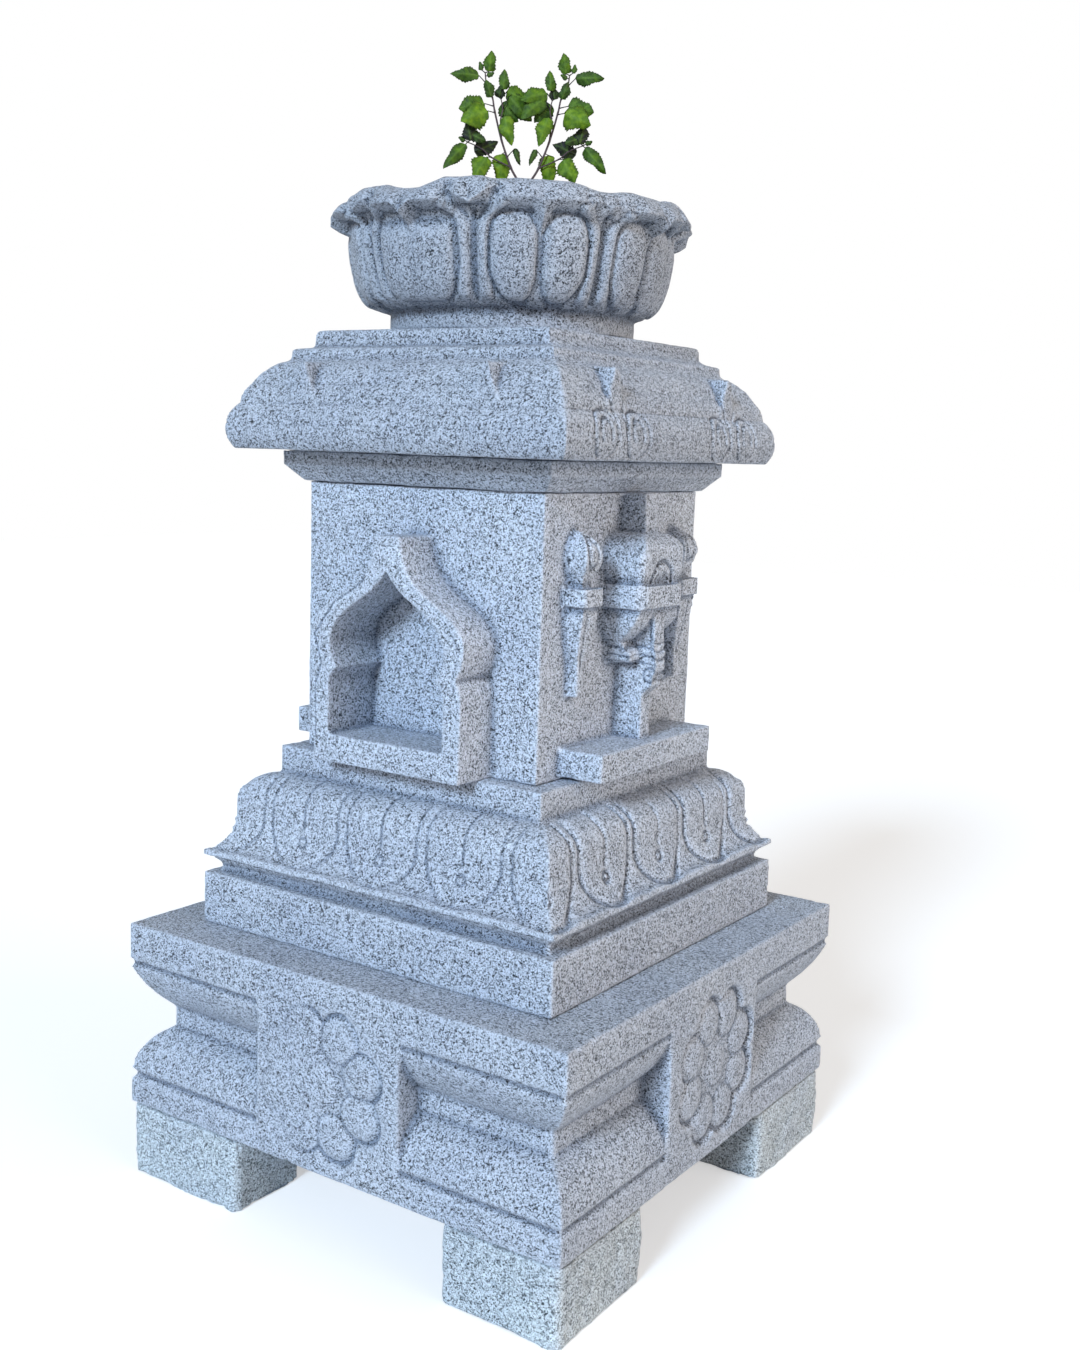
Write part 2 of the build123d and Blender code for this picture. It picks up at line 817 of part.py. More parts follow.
with BuildPart() as rib:
    with BuildSketch(Plane.YZ):
        Polygon(
            (0, rib_foot),
            (-fascia_width / 2, rib_foot),
            (-rib_reach_width / 2, rib_top),
            (0, rib_top),
            align=None,
        )
    extrude(amount=rib_foot_width, both=True)
    extrude(square_section(Plane.XZ, draw_rib), amount=eave_width, mode=Mode.INTERSECT)

with BuildPart() as eave_stone:
    extrude(square_section(Plane.XZ, eave_outline), amount=eave_width, both=True)
    extrude(square_section(Plane.YZ, eave_outline), amount=eave_width, both=True, mode=Mode.INTERSECT)
    with PolarLocations(0, 4):
        with Locations((-rib_spacing / 2, 0), (rib_spacing / 2, 0)):
            add(rib.part)
    drill_dowel_hole(eave_bed - cornice_height / 2, dowel_length + cornice_height)
    drill_dowel_hole(bowl_bed, dowel_length)
finish(eave_stone, "eave_stone")


# ---------------------------------------------------------------- lotus bowl

bowl_valley_angle = 180 / bowl_petals
inner_rim_radius = bowl_rim_radius - rim_thickness


def rim_point(radius, angle):
    """Point of the rim's plan, with a petal tip at angle 0."""
    return (radius * cos(radians(angle)), radius * sin(radians(angle)))


def draw_cavity(clearance):
    """Hollow of the bowl from the axis to just under the rim, drawn a clearance inside its wall."""
    floor = (cavity_floor_radius - clearance, gravel_bed)
    knee = (bowl_belly_radius - boss_proud - rim_thickness - clearance, bowl_bed + bowl_belly_height)
    mouth = (inner_rim_radius - cavity_mouth_inset - clearance, rim_top - rim_thickness / 2)
    Line((0, gravel_bed), floor)
    Spline(floor, knee, mouth, tangents=((1, 0.5), (0.1, 1)))
    return mouth


with BuildSketch(Plane.XY.offset(bowl_bed)) as rim_plan:
    with BuildLine():
        for petal in range(bowl_petals):
            tip_angle = petal * 2 * bowl_valley_angle
            for side in (-1, 1):
                ThreePointArc(
                    rim_point(bowl_lip_radius, tip_angle),
                    rim_point(petal_shoulder_radius, tip_angle + side * petal_shoulder_angle),
                    rim_point(bowl_valley_radius, tip_angle + side * bowl_valley_angle),
                )
    make_face()

# One of the paired swellings of a petal
with BuildPart() as boss:
    with BuildSketch(Plane.XZ):
        Ellipse(boss_half_width, boss_half_height)
        Rectangle(boss_half_width, boss_half_height * 2, align=(Align.MAX, Align.CENTER), mode=Mode.SUBTRACT)
    revolve(axis=Axis.Z)

with BuildPart() as lotus_bowl:
    with BuildSketch(Plane.XZ):
        with BuildLine():
            neck = (bowl_neck_radius, bowl_bed + bowl_neck_height)
            turn = (bowl_belly_radius - boss_proud - bowl_turn_depth, bowl_bed + bowl_belly_height / 2)
            belly = (bowl_belly_radius - boss_proud, bowl_bed + bowl_belly_height)
            shoulder = (bowl_shoulder_radius - boss_proud, bowl_bed + bowl_shoulder_height)
            lip = (bowl_lip_radius, bowl_bed + bowl_lip_height)
            under_lip = (lip[0] - bowl_lip_underside, lip[1] - bowl_lip_underside)
            fold = (bowl_fold_radius, bowl_bed + bowl_fold_height)
            rim = (bowl_rim_radius, rim_top - rim_rounding)
            rim_crest = ((bowl_rim_radius + inner_rim_radius) / 2, rim_top)
            rim_inside = (inner_rim_radius, rim_top - rim_inner_drop)
            Polyline((0, bowl_bed), (bowl_neck_radius, bowl_bed), neck)
            Spline(neck, turn, belly, shoulder, tangents=((1, 0.25), (0.25, 1)))
            Spline(shoulder, under_lip, lip, tangents=((0.6, 1), (1, 0.5)))
            Spline(lip, fold, rim, tangents=((-0.2, 1), (-1, 0.6)))
            ThreePointArc(rim, rim_crest, rim_inside)
            Polyline(rim_inside, (0, rim_inside[1]), (0, bowl_bed))
        make_face()
    revolve(axis=Axis.Z)
    for petal in range(bowl_petals):
        middle = petal * 2 * bowl_valley_angle
        for side in (-1, 1):
            angle = radians(middle + side * boss_spread)
            reach = bowl_belly_radius - boss_half_width
            with Locations((reach * cos(angle), reach * sin(angle), bowl_bed + boss_height)):
                add(boss.part)
    extrude(rim_plan.sketch, amount=bowl_height, mode=Mode.INTERSECT)
    with BuildSketch(Plane.XZ) as cavity:
        with BuildLine():
            mouth = draw_cavity(0)
            Polyline(mouth, rim_inside, (0, rim_inside[1]), (0, gravel_bed))
        make_face()
    revolve(cavity.sketch, axis=Axis.Z, mode=Mode.SUBTRACT)
    with Locations(Plane((0, 0, gravel_bed + weep_hole_radius), z_dir=(0, 1, 0))):
        Cylinder(
            weep_hole_radius,
            bowl_lip_radius,
            align=(Align.CENTER, Align.CENTER, Align.MIN),
            mode=Mode.SUBTRACT,
        )
    drill_dowel_hole(bowl_bed, dowel_length)
finish(lotus_bowl, "lotus_bowl")


# ---------------------------------------------------------------- fill of the bowl

def fill_layer(bottom, top):
    """Layer that fits the hollow with a clearance, between two levels."""
    with BuildPart() as layer:
        with BuildSketch(Plane.XZ):
            with BuildLine():
                mouth = draw_cavity(fill_clearance)
                Polyline(mouth, (0, mouth[1]), (0, gravel_bed))
            make_face()
            with Locations((0, bottom)):
                Rectangle(
                    bowl_lip_radius, top - bottom, align=(Align.MIN, Align.MIN), mode=Mode.INTERSECT
                )
        revolve(axis=Axis.Z)
    return layer.part


with BuildPart() as drainage_gravel:
    add(fill_layer(gravel_bed, soil_bed))
finish(drainage_gravel, "drainage_gravel")


# ---------------------------------------------------------------- dowels

def stand_dowel(bed, length):
    """Dowel that stands on the bottom of its lower hole."""
    with Locations((0, 0, bed - length / 2)):
        Cylinder(dowel_radius, length, align=(Align.CENTER, Align.CENTER, Align.MIN))


with BuildPart() as plinth_dowel:
    stand_dowel(pedestal_bed, dowel_length)
finish(plinth_dowel, "plinth_dowel")

with BuildPart() as pedestal_dowel:
    stand_dowel(shaft_bed, dowel_length)
finish(pedestal_dowel, "pedestal_dowel")

with BuildPart() as cornice_dowel:
    stand_dowel(eave_bed - cornice_height / 2, dowel_length + cornice_height)
finish(cornice_dowel, "cornice_dowel")

with BuildPart() as bowl_dowel:
    stand_dowel(bowl_bed, dowel_length)
finish(bowl_dowel, "bowl_dowel")


# ---------------------------------------------------------------- tulsi plant

# Two mirrored sprigs stand in an upright plane. Points are (outward, up) from where the sprigs part, and a
# leaf adds how far it stands in front of the plane at its root and at its tip.
plant_level = rim_top + plant_rise
plant_plane = Plane(
    origin=(
        plant_offset * cos(radians(plant_turn)),
        plant_offset * sin(radians(plant_turn)),
        plant_level,
    ),
    x_dir=(cos(radians(plant_turn)), sin(radians(plant_turn)), 0),
    z_dir=(sin(radians(plant_turn)), -cos(radians(plant_turn)), 0),
)
root_level = soil_top - stem_root_depth - plant_level

main_stem_route = [
    (2.4, root_level),
    (2.4, -2),
    (15.7, 27.7),
    (26.8, 56.5),
    (35.4, 87.6),
    (38.5, 102.6),
    (45.3, 116.5),
    (47.2, 129),
]
inner_branch_route = [(26.8, 56.5), (28.6, 78), (26.5, 90), (28.7, 101)]
outer_branch_route = [(15.7, 27.7), (37.9, 38), (49, 47), (65, 53.6)]

# Each leaf: where its stalk leaves the stem, its root, its tip, its stand-off at root and tip, and its width
leaf_layout = [
    ((47.2, 128.5), (43, 130), (40, 152), (0, 3), 14),
    ((47.2, 128.5), (51.5, 131.4), (53.4, 141), (0, -3), 6),
    ((45.3, 116.5), (54, 125), (86, 125), (2, 6), 15),
    ((46.6, 125), (44.5, 124.8), (37.3, 128), (2, 4), 6),
    ((38.5, 102.6), (39.5, 102), (46, 120), (4, 7), 12),
    ((28.7, 101), (26.5, 112), (25.4, 134), (-3, -5), 12),
    ((28.7, 101), (31.5, 104), (29, 118), (-6, -9), 11),
    ((36.8, 93), (47, 95), (75.5, 88), (3, 8), 24),
    ((35, 86), (43, 86), (72.5, 73), (9, 14), 27),
    ((65, 53.6), (61, 55), (66, 76), (4, 2), 15),
    ((49, 47), (60, 61), (44.5, 54), (3, 5), 13),
    ((49, 47), (57, 44), (31, 56), (-4, -8), 17),
    ((65, 53.6), (68, 55), (75, 58), (2, 3), 6),
    ((65, 53.6), (67, 51), (91.6, 23), (2, 6), 15),
    ((37.9, 38), (43, 37), (57, 11.5), (6, 10), 22),
    ((22, 44), (26, 43), (27, 9.5), (-5, -7), 20),
    ((28, 72), (24.5, 82), (15, 50), (4, 7), 17),
    ((26.5, 90), (28, 97), (9, 78), (-3, -5), 19),
    ((28.7, 101), (22.5, 109), (-7, 99), (0, 7), 19),
    ((26.5, 90), (20, 104), (-6, 79), (0, 5), 20),
    ((20, 39), (12, 48), (5.2, 30), (0, 2), 7),
    ((4, 2), (6, 3), (11, 8), (3, 5), 6),
]


def plant_point(side, route_point, stand_off=0):
    """Point of the sprig on one side of the plant, in the stack's frame."""
    outward, up = route_point
    return plant_plane.from_local_coords(Vector(side * outward, up, stand_off))


def grow_stem(side, route, radius):
    """Round stem along a route, with its corners rounded."""
    points = [plant_point(side, point) for point in route]
    with BuildLine() as path:
        FilletPolyline(*points, radius=stem_bend)
    with BuildSketch(Plane(origin=points[0], z_dir=path.line % 0)) as section:
        Circle(radius)
    sweep(section.sketch, path=path.line)


def grow_leaf(side, stalk, root, tip, stand_off, width):
    """Flat pointed leaf and its stalk. A leaf that crosses the middle leans clear of its twin."""
    lean = side if tip[0] < 0 else 1
    stalk_start = plant_point(side, stalk)
    leaf_root = plant_point(side, root, stand_off[0])
    leaf_tip = plant_point(side, tip, lean * stand_off[1])
    along = leaf_tip - leaf_root
    facing = along.cross(plant_plane.z_dir.cross(along))
    with BuildSketch(Plane(origin=leaf_root, x_dir=along, z_dir=facing)) as blade:
        with BuildLine():
            Spline(
                (0, 0),
                (along.length * leaf_widest_share, width / 2),
                (along.length, 0),
                tangents=((0.5, 1), (1, -0.45)),
            )
            mirror(about=Plane.XZ)
        make_face()
    extrude(blade.sketch, amount=leaf_thickness / 2, both=True)
    reach = leaf_root - stalk_start
    with BuildSketch(Plane(origin=stalk_start, z_dir=reach)) as petiole:
        Circle(petiole_radius)
    extrude(petiole.sketch, amount=reach.length + petiole_radius * 2)


with BuildPart() as tulsi_stem_left:
    grow_stem(-1, main_stem_route, stem_radius)
    grow_stem(-1, inner_branch_route, branch_radius)
    grow_stem(-1, outer_branch_route, branch_radius)
finish(tulsi_stem_left, "tulsi_stem_left")

with BuildPart() as tulsi_stem_right:
    grow_stem(1, main_stem_route, stem_radius)
    grow_stem(1, inner_branch_route, branch_radius)
    grow_stem(1, outer_branch_route, branch_radius)
finish(tulsi_stem_right, "tulsi_stem_right")

with BuildPart() as tulsi_leaves_left:
    for leaf in leaf_layout:
        grow_leaf(-1, *leaf)
    add(tulsi_stem_left.part, mode=Mode.SUBTRACT)
finish(tulsi_leaves_left, "tulsi_leaves_left")

with BuildPart() as tulsi_leaves_right:
    for leaf in leaf_layout:
        grow_leaf(1, *leaf)
    add(tulsi_stem_right.part, mode=Mode.SUBTRACT)
finish(tulsi_leaves_right, "tulsi_leaves_right")

with BuildPart() as soil:
    add(fill_layer(soil_bed, soil_top))
    add(tulsi_stem_left.part, mode=Mode.SUBTRACT)
    add(tulsi_stem_right.part, mode=Mode.SUBTRACT)
finish(soil, "soil")
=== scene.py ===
import math

import bmesh
import bpy
import numpy as np
from mathutils import Matrix, Vector


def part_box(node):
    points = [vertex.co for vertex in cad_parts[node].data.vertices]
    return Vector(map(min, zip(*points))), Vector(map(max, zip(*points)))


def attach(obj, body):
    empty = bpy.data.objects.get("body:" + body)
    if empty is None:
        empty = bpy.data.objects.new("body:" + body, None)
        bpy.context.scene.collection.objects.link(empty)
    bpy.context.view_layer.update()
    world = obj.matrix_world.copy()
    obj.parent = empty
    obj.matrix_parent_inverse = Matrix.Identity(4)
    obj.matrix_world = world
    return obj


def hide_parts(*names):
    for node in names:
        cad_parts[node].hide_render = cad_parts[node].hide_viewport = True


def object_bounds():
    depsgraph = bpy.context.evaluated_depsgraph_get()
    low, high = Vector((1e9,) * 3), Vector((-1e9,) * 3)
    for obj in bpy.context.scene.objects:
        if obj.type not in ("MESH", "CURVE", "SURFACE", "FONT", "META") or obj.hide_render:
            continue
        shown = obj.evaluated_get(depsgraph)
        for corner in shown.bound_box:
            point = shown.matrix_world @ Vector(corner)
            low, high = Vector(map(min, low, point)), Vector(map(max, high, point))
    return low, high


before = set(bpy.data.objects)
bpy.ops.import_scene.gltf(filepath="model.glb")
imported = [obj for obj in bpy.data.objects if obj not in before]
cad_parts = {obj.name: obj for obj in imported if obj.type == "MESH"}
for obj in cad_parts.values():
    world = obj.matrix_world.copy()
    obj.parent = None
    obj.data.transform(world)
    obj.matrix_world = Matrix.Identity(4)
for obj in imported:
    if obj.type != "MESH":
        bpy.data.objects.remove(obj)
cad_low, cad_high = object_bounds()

# The looks of a carved granite tulsi planter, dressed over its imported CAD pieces. Metres, +Z up, niche on -Y.

MM = 0.001

# How fine the meshes are
stone_voxel = 2.0 * MM
foot_voxel = 2.2 * MM
plinth_voxel = 2.3 * MM
shaft_voxel = 1.8 * MM
eave_voxel = 1.5 * MM
weld_gap = 0.01 * MM
most_triangles = 185_000
eave_triangles = 300_000

# --- levels and widths, read from the frame

plinth_low, plinth_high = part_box("base_plinth")
pedestal_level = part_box("padma_pedestal")[0].z
shaft_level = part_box("shaft")[0].z
eave_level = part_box("eave_stone")[0].z
bowl_low, bowl_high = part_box("lotus_bowl")
soil_low, soil_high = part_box("soil")

# --- camera

camera_place = (1.01806, -1.43051, 0.86804)
camera_azimuth = math.radians(33.998)
camera_drop = math.radians(8.682)
camera_roll = math.radians(1.885)
camera_lens = 39.92


def make_camera():
    """The photograph's viewpoint."""
    data = bpy.data.cameras.new("camera")
    data.lens = camera_lens
    camera = bpy.data.objects.new("camera", data)
    turn = Matrix.Rotation(camera_azimuth, 4, "Z") @ Matrix.Rotation(math.pi / 2 - camera_drop, 4, "X")
    turn = turn @ Matrix.Rotation(camera_roll, 4, "Z")
    camera.matrix_world = Matrix.Translation(camera_place) @ turn
    bpy.context.scene.collection.objects.link(camera)
    bpy.context.scene.camera = camera


# --- arrays and noise

# Large odd numbers that scatter neighbouring cells, and the bits that are kept of each
cell_scatter = (73856093, 19349663, 83492791)
seed_scatter = 26544357
bit_mixing = 1274126177
kept_bits = 0xFFFF


def lattice_value(cell, seed):
    """Repeatable value from 0 to 1 for each whole-number cell."""
    mixed = seed * seed_scatter
    for axis, scatter in enumerate(cell_scatter):
        mixed = mixed ^ cell[:, axis] * scatter
    mixed = (mixed ^ (mixed >> 13)) * bit_mixing
    return ((mixed ^ (mixed >> 16)) & kept_bits) / kept_bits


def noise(points, size, seed):
    """Smooth noise from -1 to 1 that changes over a size."""
    scaled = points / size
    cell = np.floor(scaled).astype(np.int64)
    part = scaled - cell
    part = part * part * (3 - 2 * part)
    total = np.zeros(len(points))
    for corner in np.ndindex(2, 2, 2):
        weight = np.prod(np.where(np.array(corner) == 1, part, 1 - part), axis=1)
        total += weight * lattice_value(cell + np.array(corner), seed)
    return total * 2 - 1


def step(value, low, high):
    """Smooth step from 0 to 1 between two values."""
    part = np.clip((value - low) / (high - low), 0, 1)
    return part * part * (3 - 2 * part)


def groove(distance, width):
    """Rounded cut, 1 in its middle and 0 at its banks."""
    return np.clip(1 - (2 * distance / width) ** 2, 0, 1)


def from_nearest(value, pitch):
    """How far a value is past the nearest multiple of the pitch."""
    return value - pitch * np.round(value / pitch)


def oval_gap(across, up, half_width, half_height):
    """Distance from an oval's outline, positive outside."""
    value = (across / half_width) ** 2 + (up / half_height) ** 2 - 1
    slope = 2 * np.sqrt((across / half_width**2) ** 2 + (up / half_height**2) ** 2)
    return value / (slope + 1e-6)


def read(mesh, what, count, kind=np.float32):
    """One of the mesh's arrays, where count names its elements and the values that each has."""
    elements = getattr(mesh, count[0])
    values = np.empty(len(elements) * count[1], kind)
    elements.foreach_get(what, values)
    return values.reshape(-1, count[1])


def read_points(mesh):
    return read(mesh, "co", ("vertices", 3)).astype(float)


def read_normals(mesh):
    return read(mesh, "normal", ("vertices", 3)).astype(float)


def write_points(mesh, points):
    mesh.vertices.foreach_set("co", points.astype(np.float32).ravel())
    mesh.update()


def push_out(mesh, distance):
    """Move each point along its normal."""
    write_points(mesh, read_points(mesh) + read_normals(mesh) * distance[:, None])


def relaxed(points, edges, rounds):
    """Points moved towards the middle of their neighbours, several times over."""
    ends = np.concatenate((edges[:, 0], edges[:, 1]))
    others = np.concatenate((edges[:, 1], edges[:, 0]))
    number = np.maximum(np.bincount(ends, minlength=len(points)), 1)
    for _ in range(rounds):
        middle = [np.bincount(ends, points[others, axis], len(points)) / number for axis in range(3)]
        points = (points + np.stack(middle, axis=1)) / 2
    return points


# --- pieces

def new_piece(name, mesh):
    piece = bpy.data.objects.new(name, mesh)
    bpy.context.scene.collection.objects.link(piece)
    return piece


def made_piece(name, made):
    """New piece from a finished bmesh."""
    mesh = bpy.data.meshes.new(name)
    made.to_mesh(mesh)
    made.free()
    return new_piece(name, mesh)


def add_shell(made, rings):
    """Closed shell through rings of points, with a face over each end."""
    rings = [[made.verts.new(point) for point in ring] for ring in rings]
    for low, high in zip(rings, rings[1:]):
        for corners in zip(low, low[1:] + low[:1], high[1:] + high[:1], high):
            made.faces.new(corners)
    made.faces.new(rings[0][::-1])
    made.faces.new(rings[-1])


def settle(piece):
    """Apply the piece's modifiers."""
    shown = piece.evaluated_get(bpy.context.evaluated_depsgraph_get())
    mesh = bpy.data.meshes.new_from_object(shown)
    piece.modifiers.clear()
    piece.data = mesh


def finish_piece(piece, node, material):
    """Smooth the piece's shading and let it stand for its CAD node."""
    piece.data.shade_smooth()
    piece.data.materials.clear()
    piece.data.materials.append(material)
    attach(piece, "root")
    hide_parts(node)


def thin_out(piece, most):
    """Bring a mesh under a number of triangles, flat parts first."""
    triangles = sum(len(face.vertices) - 2 for face in piece.data.polygons)
    if triangles > most:
        fewer = piece.modifiers.new("fewer", "DECIMATE")
        fewer.ratio = most / triangles
        settle(piece)


def wear_round(piece, share_at, rounds):
    """Move the piece towards its relaxed shape by a share at each point, hollows twice as far as edges."""
    points = read_points(piece.data)
    normals = read_normals(piece.data)
    edges = read(piece.data, "vertices", ("edges", 2), np.int32)
    move = relaxed(points, edges, rounds) - points
    hollow = 0.5 + 0.5 * step((move * normals).sum(axis=1), -0.5 * MM, 0.5 * MM)
    write_points(piece.data, points + move * (share_at(points) * hollow)[:, None])


def voxel_copy(node, voxel, fillings=()):
    """Even, slightly rounded copy of a CAD stone that can be carved, with round discs filled in first."""
    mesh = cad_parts[node].data.copy()
    welded = bmesh.new()
    welded.from_mesh(mesh)
    bmesh.ops.remove_doubles(welded, verts=welded.verts, dist=weld_gap)
    for radius, thickness, place in fillings:
        bmesh.ops.create_cone(
            welded, cap_ends=True, segments=96, radius1=radius, radius2=radius, depth=thickness, matrix=place
        )
    welded.to_mesh(mesh)
    welded.free()
    piece = new_piece(node + "_stone", mesh)
    voxels = piece.modifiers.new("voxels", "REMESH")
    voxels.mode = "VOXEL"
    voxels.voxel_size = voxel
    settle(piece)
    return piece


def mark_points(mesh, name, values):
    """Give every point of the mesh a value for the material to read."""
    mark = mesh.attributes.new(name, "FLOAT", "POINT")
    mark.data.foreach_set("value", values.astype(np.float32))


def keep_inside(piece):
    """Hold the piece inside the box of the CAD solids."""
    write_points(piece.data, np.clip(read_points(piece.data), np.array(cad_low), np.array(cad_high)))


# How sharp an edge is that wear takes in full, and how deep a hollow that painted shade and grime take in full
near_rounds = 8
wide_rounds = 24
edge_bend = 0.5 * MM
hollow_bend = 0.55 * MM
hollow_sweep = 1.8 * MM
broad_hollow = 0.8
# How far apart chips, swellings and pits lie
chip_size = 11 * MM
chip_spacing = 37 * MM
even_chip = 0.25
swell_size = 55 * MM
swell_sink = 0.7
pit_size = 13 * MM
fine_pit_size = 5 * MM
fine_pit = 0.6
# How deep a carved line is, in millimetres, where painted shade and grime start to darken it, and where they
# are full
grime_and_shade_start = 1.0
grime_and_shade_full = 2.6


def weather(piece, seed, grime_and_shade=0.0, shade=1.0, chip=1.6 * MM, swell=0.5 * MM, pits=0.35 * MM):
    """Wear the edges, leave the surface uneven, and mark worn edges, hollows and deep lines darkened with
    painted shade and grime, and the stone's painted light level.
    """
    mesh = piece.data
    points = read_points(mesh)
    normals = read_normals(mesh)
    edges = read(mesh, "vertices", ("edges", 2), np.int32)
    near = relaxed(points, edges, near_rounds)
    wide = relaxed(near, edges, wide_rounds)
    bend = ((points - near) * normals).sum(axis=1)
    sweep = ((points - wide) * normals).sum(axis=1)
    arris = np.clip(bend / edge_bend, 0, 1)
    # Hollows, sharp and broad, which the material darkens with painted shade and grime
    hollow = np.maximum(-bend / hollow_bend, broad_hollow * np.minimum(-sweep / hollow_sweep, 1))
    hollow = np.clip(hollow, 0, 1)
    broken = step(noise(points, chip_size, seed), 0.15, 0.8)
    broken = broken * step(noise(points, chip_spacing, seed + 1), -0.3, 0.5)
    inward = arris * (even_chip * chip + chip * broken)
    outward = swell * (noise(points, swell_size, seed + 2) - swell_sink)
    outward += pits * noise(points, pit_size, seed + 3)
    outward += fine_pit * pits * noise(points, fine_pit_size, seed + 4)
    push_out(mesh, outward - inward)
    # Above 0 it marks worn edges; below 0 it marks hollows and deep lines for painted shade and grime
    mark_points(mesh, "arris", arris * (1 - grime_and_shade) - np.maximum(hollow, grime_and_shade))
    # Painted light: one level for the whole stone, lighter above 1 and darker below 1
    mark_points(mesh, "shade", np.full(len(points), shade))


def carved(
    node, seed, carving=None, voxel=stone_voxel, fillings=(), rounding=None, rounds=0, raising=None,
    most=most_triangles, grimy=0.0, **wear
):
    """Stone rounded by a share, raised and carved by millimetres at each point, and weathered, with painted
    shade and grime in its deeper carved lines.
    """
    piece = voxel_copy(node, voxel, fillings)
    if rounding is not None:
        wear_round(piece, rounding, rounds)
    grime_and_shade = 0.0
    if carving is not None:
        points = read_points(piece.data)
        depth = carving(points, read_normals(piece.data))
        height = 0.0 if raising is None else raising(points)
        push_out(piece.data, (height - depth) * MM)
        # Deeper carved lines are marked for painted shade and grime
        grime_and_shade = grimy * step(depth, grime_and_shade_start, grime_and_shade_full)
    weather(piece, seed, grime_and_shade, **wear)
    thin_out(piece, most)
    keep_inside(piece)
    return piece


def on_faces(points, bed):
    """Side (0 front, 1 right, 2 back, 3 left), and millimetres across it, off the axis and above the bed."""
    x, y, z = points.T / MM
    side = np.where(np.abs(x) > np.abs(y), np.where(x > 0, 1, 3), np.where(y > 0, 2, 0))
    across = np.choose(side, (x, y, -x, -y))
    return side, across, np.maximum(np.abs(x), np.abs(y)), z - bed / MM


# --- materials

def link(source, socket):
    socket.id_data.links.new(source, socket)


def fill(socket, value):
    """Link an output to the socket, or set its constant."""
    if isinstance(value, bpy.types.NodeSocket):
        link(value, socket)
    elif isinstance(value, tuple):
        socket.default_value = (*value, 1.0)
    else:
        socket.default_value = value


def new_material(name):
    """New material, its node tree and its surface shader."""
    made = bpy.data.materials.new(name)
    made.use_nodes = True
    return made, made.node_tree, made.node_tree.nodes["Principled BSDF"]


def add_node(tree, kind, **values):
    """New shader node, with the values of its properties and of its inputs (by name)."""
    node = tree.nodes.new(kind)
    for name, value in values.items():
        if hasattr(node, name):
            setattr(node, name, value)
        else:
            node.inputs[name.replace("_", " ").title()].default_value = value
    return node


def texture(tree, kind, places, **values):
    """Texture node that is read at the places."""
    node = add_node(tree, kind, **values)
    link(places, node.inputs["Vector"])
    return node


def attribute(tree, name):
    """Value that the mesh gives at each point."""
    return add_node(tree, "ShaderNodeAttribute", attribute_name=name).outputs


def ramp(tree, source, stops):
    """Colour ramp of (place, colour) stops."""
    node = add_node(tree, "ShaderNodeValToRGB")
    elements = node.color_ramp.elements
    while len(elements) < len(stops):
        elements.new(1.0)
    for element, (place, colour) in zip(elements, stops):
        element.position = place
        element.color = (*colour, 1.0)
    link(source, node.inputs["Fac"])
    return node.outputs["Color"]


def mix(tree, factor, first, second, blend="MIX"):
    """Mix of two colours, where factor may be a number or an output."""
    node = add_node(tree, "ShaderNodeMix", data_type="RGBA", blend_type=blend)
    for number, value in ((0, factor), (6, first), (7, second)):
        fill(node.inputs[number], value)
    return node.outputs[2]


def maths(tree, operation, first, second=0.0):
    """Sum on two numbers or outputs."""
    node = add_node(tree, "ShaderNodeMath", operation=operation)
    fill(node.inputs[0], first)
    fill(node.inputs[1], second)
    return node.outputs[0]


def add_relief(tree, shader, height, strength, distance=1.0 * MM):
    """Fine bumps on top of the shape."""
    relief = add_node(tree, "ShaderNodeBump", strength=strength, distance=distance)
    link(height, relief.inputs["Height"])
    link(relief.outputs[0], shader.inputs["Normal"])


def greys(stops):
    return [(place, (grey,) * 3) for place, grey in stops]


# Sizes of the granite's grain, as texture scales (cells or waves in a metre)
crystal_scale = 660.0
speck_scale = 1150.0
ragged_scale = 600.0
clump_scale = 210.0
pit_scale = 340.0
patch_scale = 9.0
crystal_nudge = 1.5 * MM
clump_share = 0.22
crystal_relief = 0.3
# Where the mica, the quartz and the feldspar lie among the crystals, and how bright the specks in them are
mica_end = 0.19
quartz_start = 0.23
quartz_end = 0.36
feldspar_start = 0.48
speck_greys = greys(((0.06, 0.14), (0.11, 0.6), (0.5, 0.92), (0.9, 1.2)))
gloss_greys = greys(((0.1, 0.42), (0.3, 0.78), (1.0, 0.86)))
patch_shadow = (0.92, 0.93, 0.95)
edge_paleness = 0.28
# How strongly hollows and carved lines are darkened with painted shade and grime, and in which colour
grime_and_shade_strength = 0.75
grime_and_shade_colour = (0.3, 0.34, 0.4)
stone_specular = 0.3


def stone_cells(tree, places):
    """Random values of the coarse crystals, and of the fine specks in them, both with ragged edges."""
    ragged = texture(tree, "ShaderNodeTexNoise", places, scale=ragged_scale, detail=2.0)
    nudge = add_node(tree, "ShaderNodeVectorMath", operation="MULTIPLY_ADD")
    link(ragged.outputs["Color"], nudge.inputs[0])
    nudge.inputs[1].default_value = (crystal_nudge,) * 3
    link(places, nudge.inputs[2])
    parted = []
    for scale in (crystal_scale, speck_scale):
        cells = texture(tree, "ShaderNodeTexVoronoi", nudge.outputs[0], scale=scale)
        parts = add_node(tree, "ShaderNodeSeparateColor")
        link(cells.outputs["Color"], parts.inputs[0])
        parted.append(parts.outputs)
    return parted


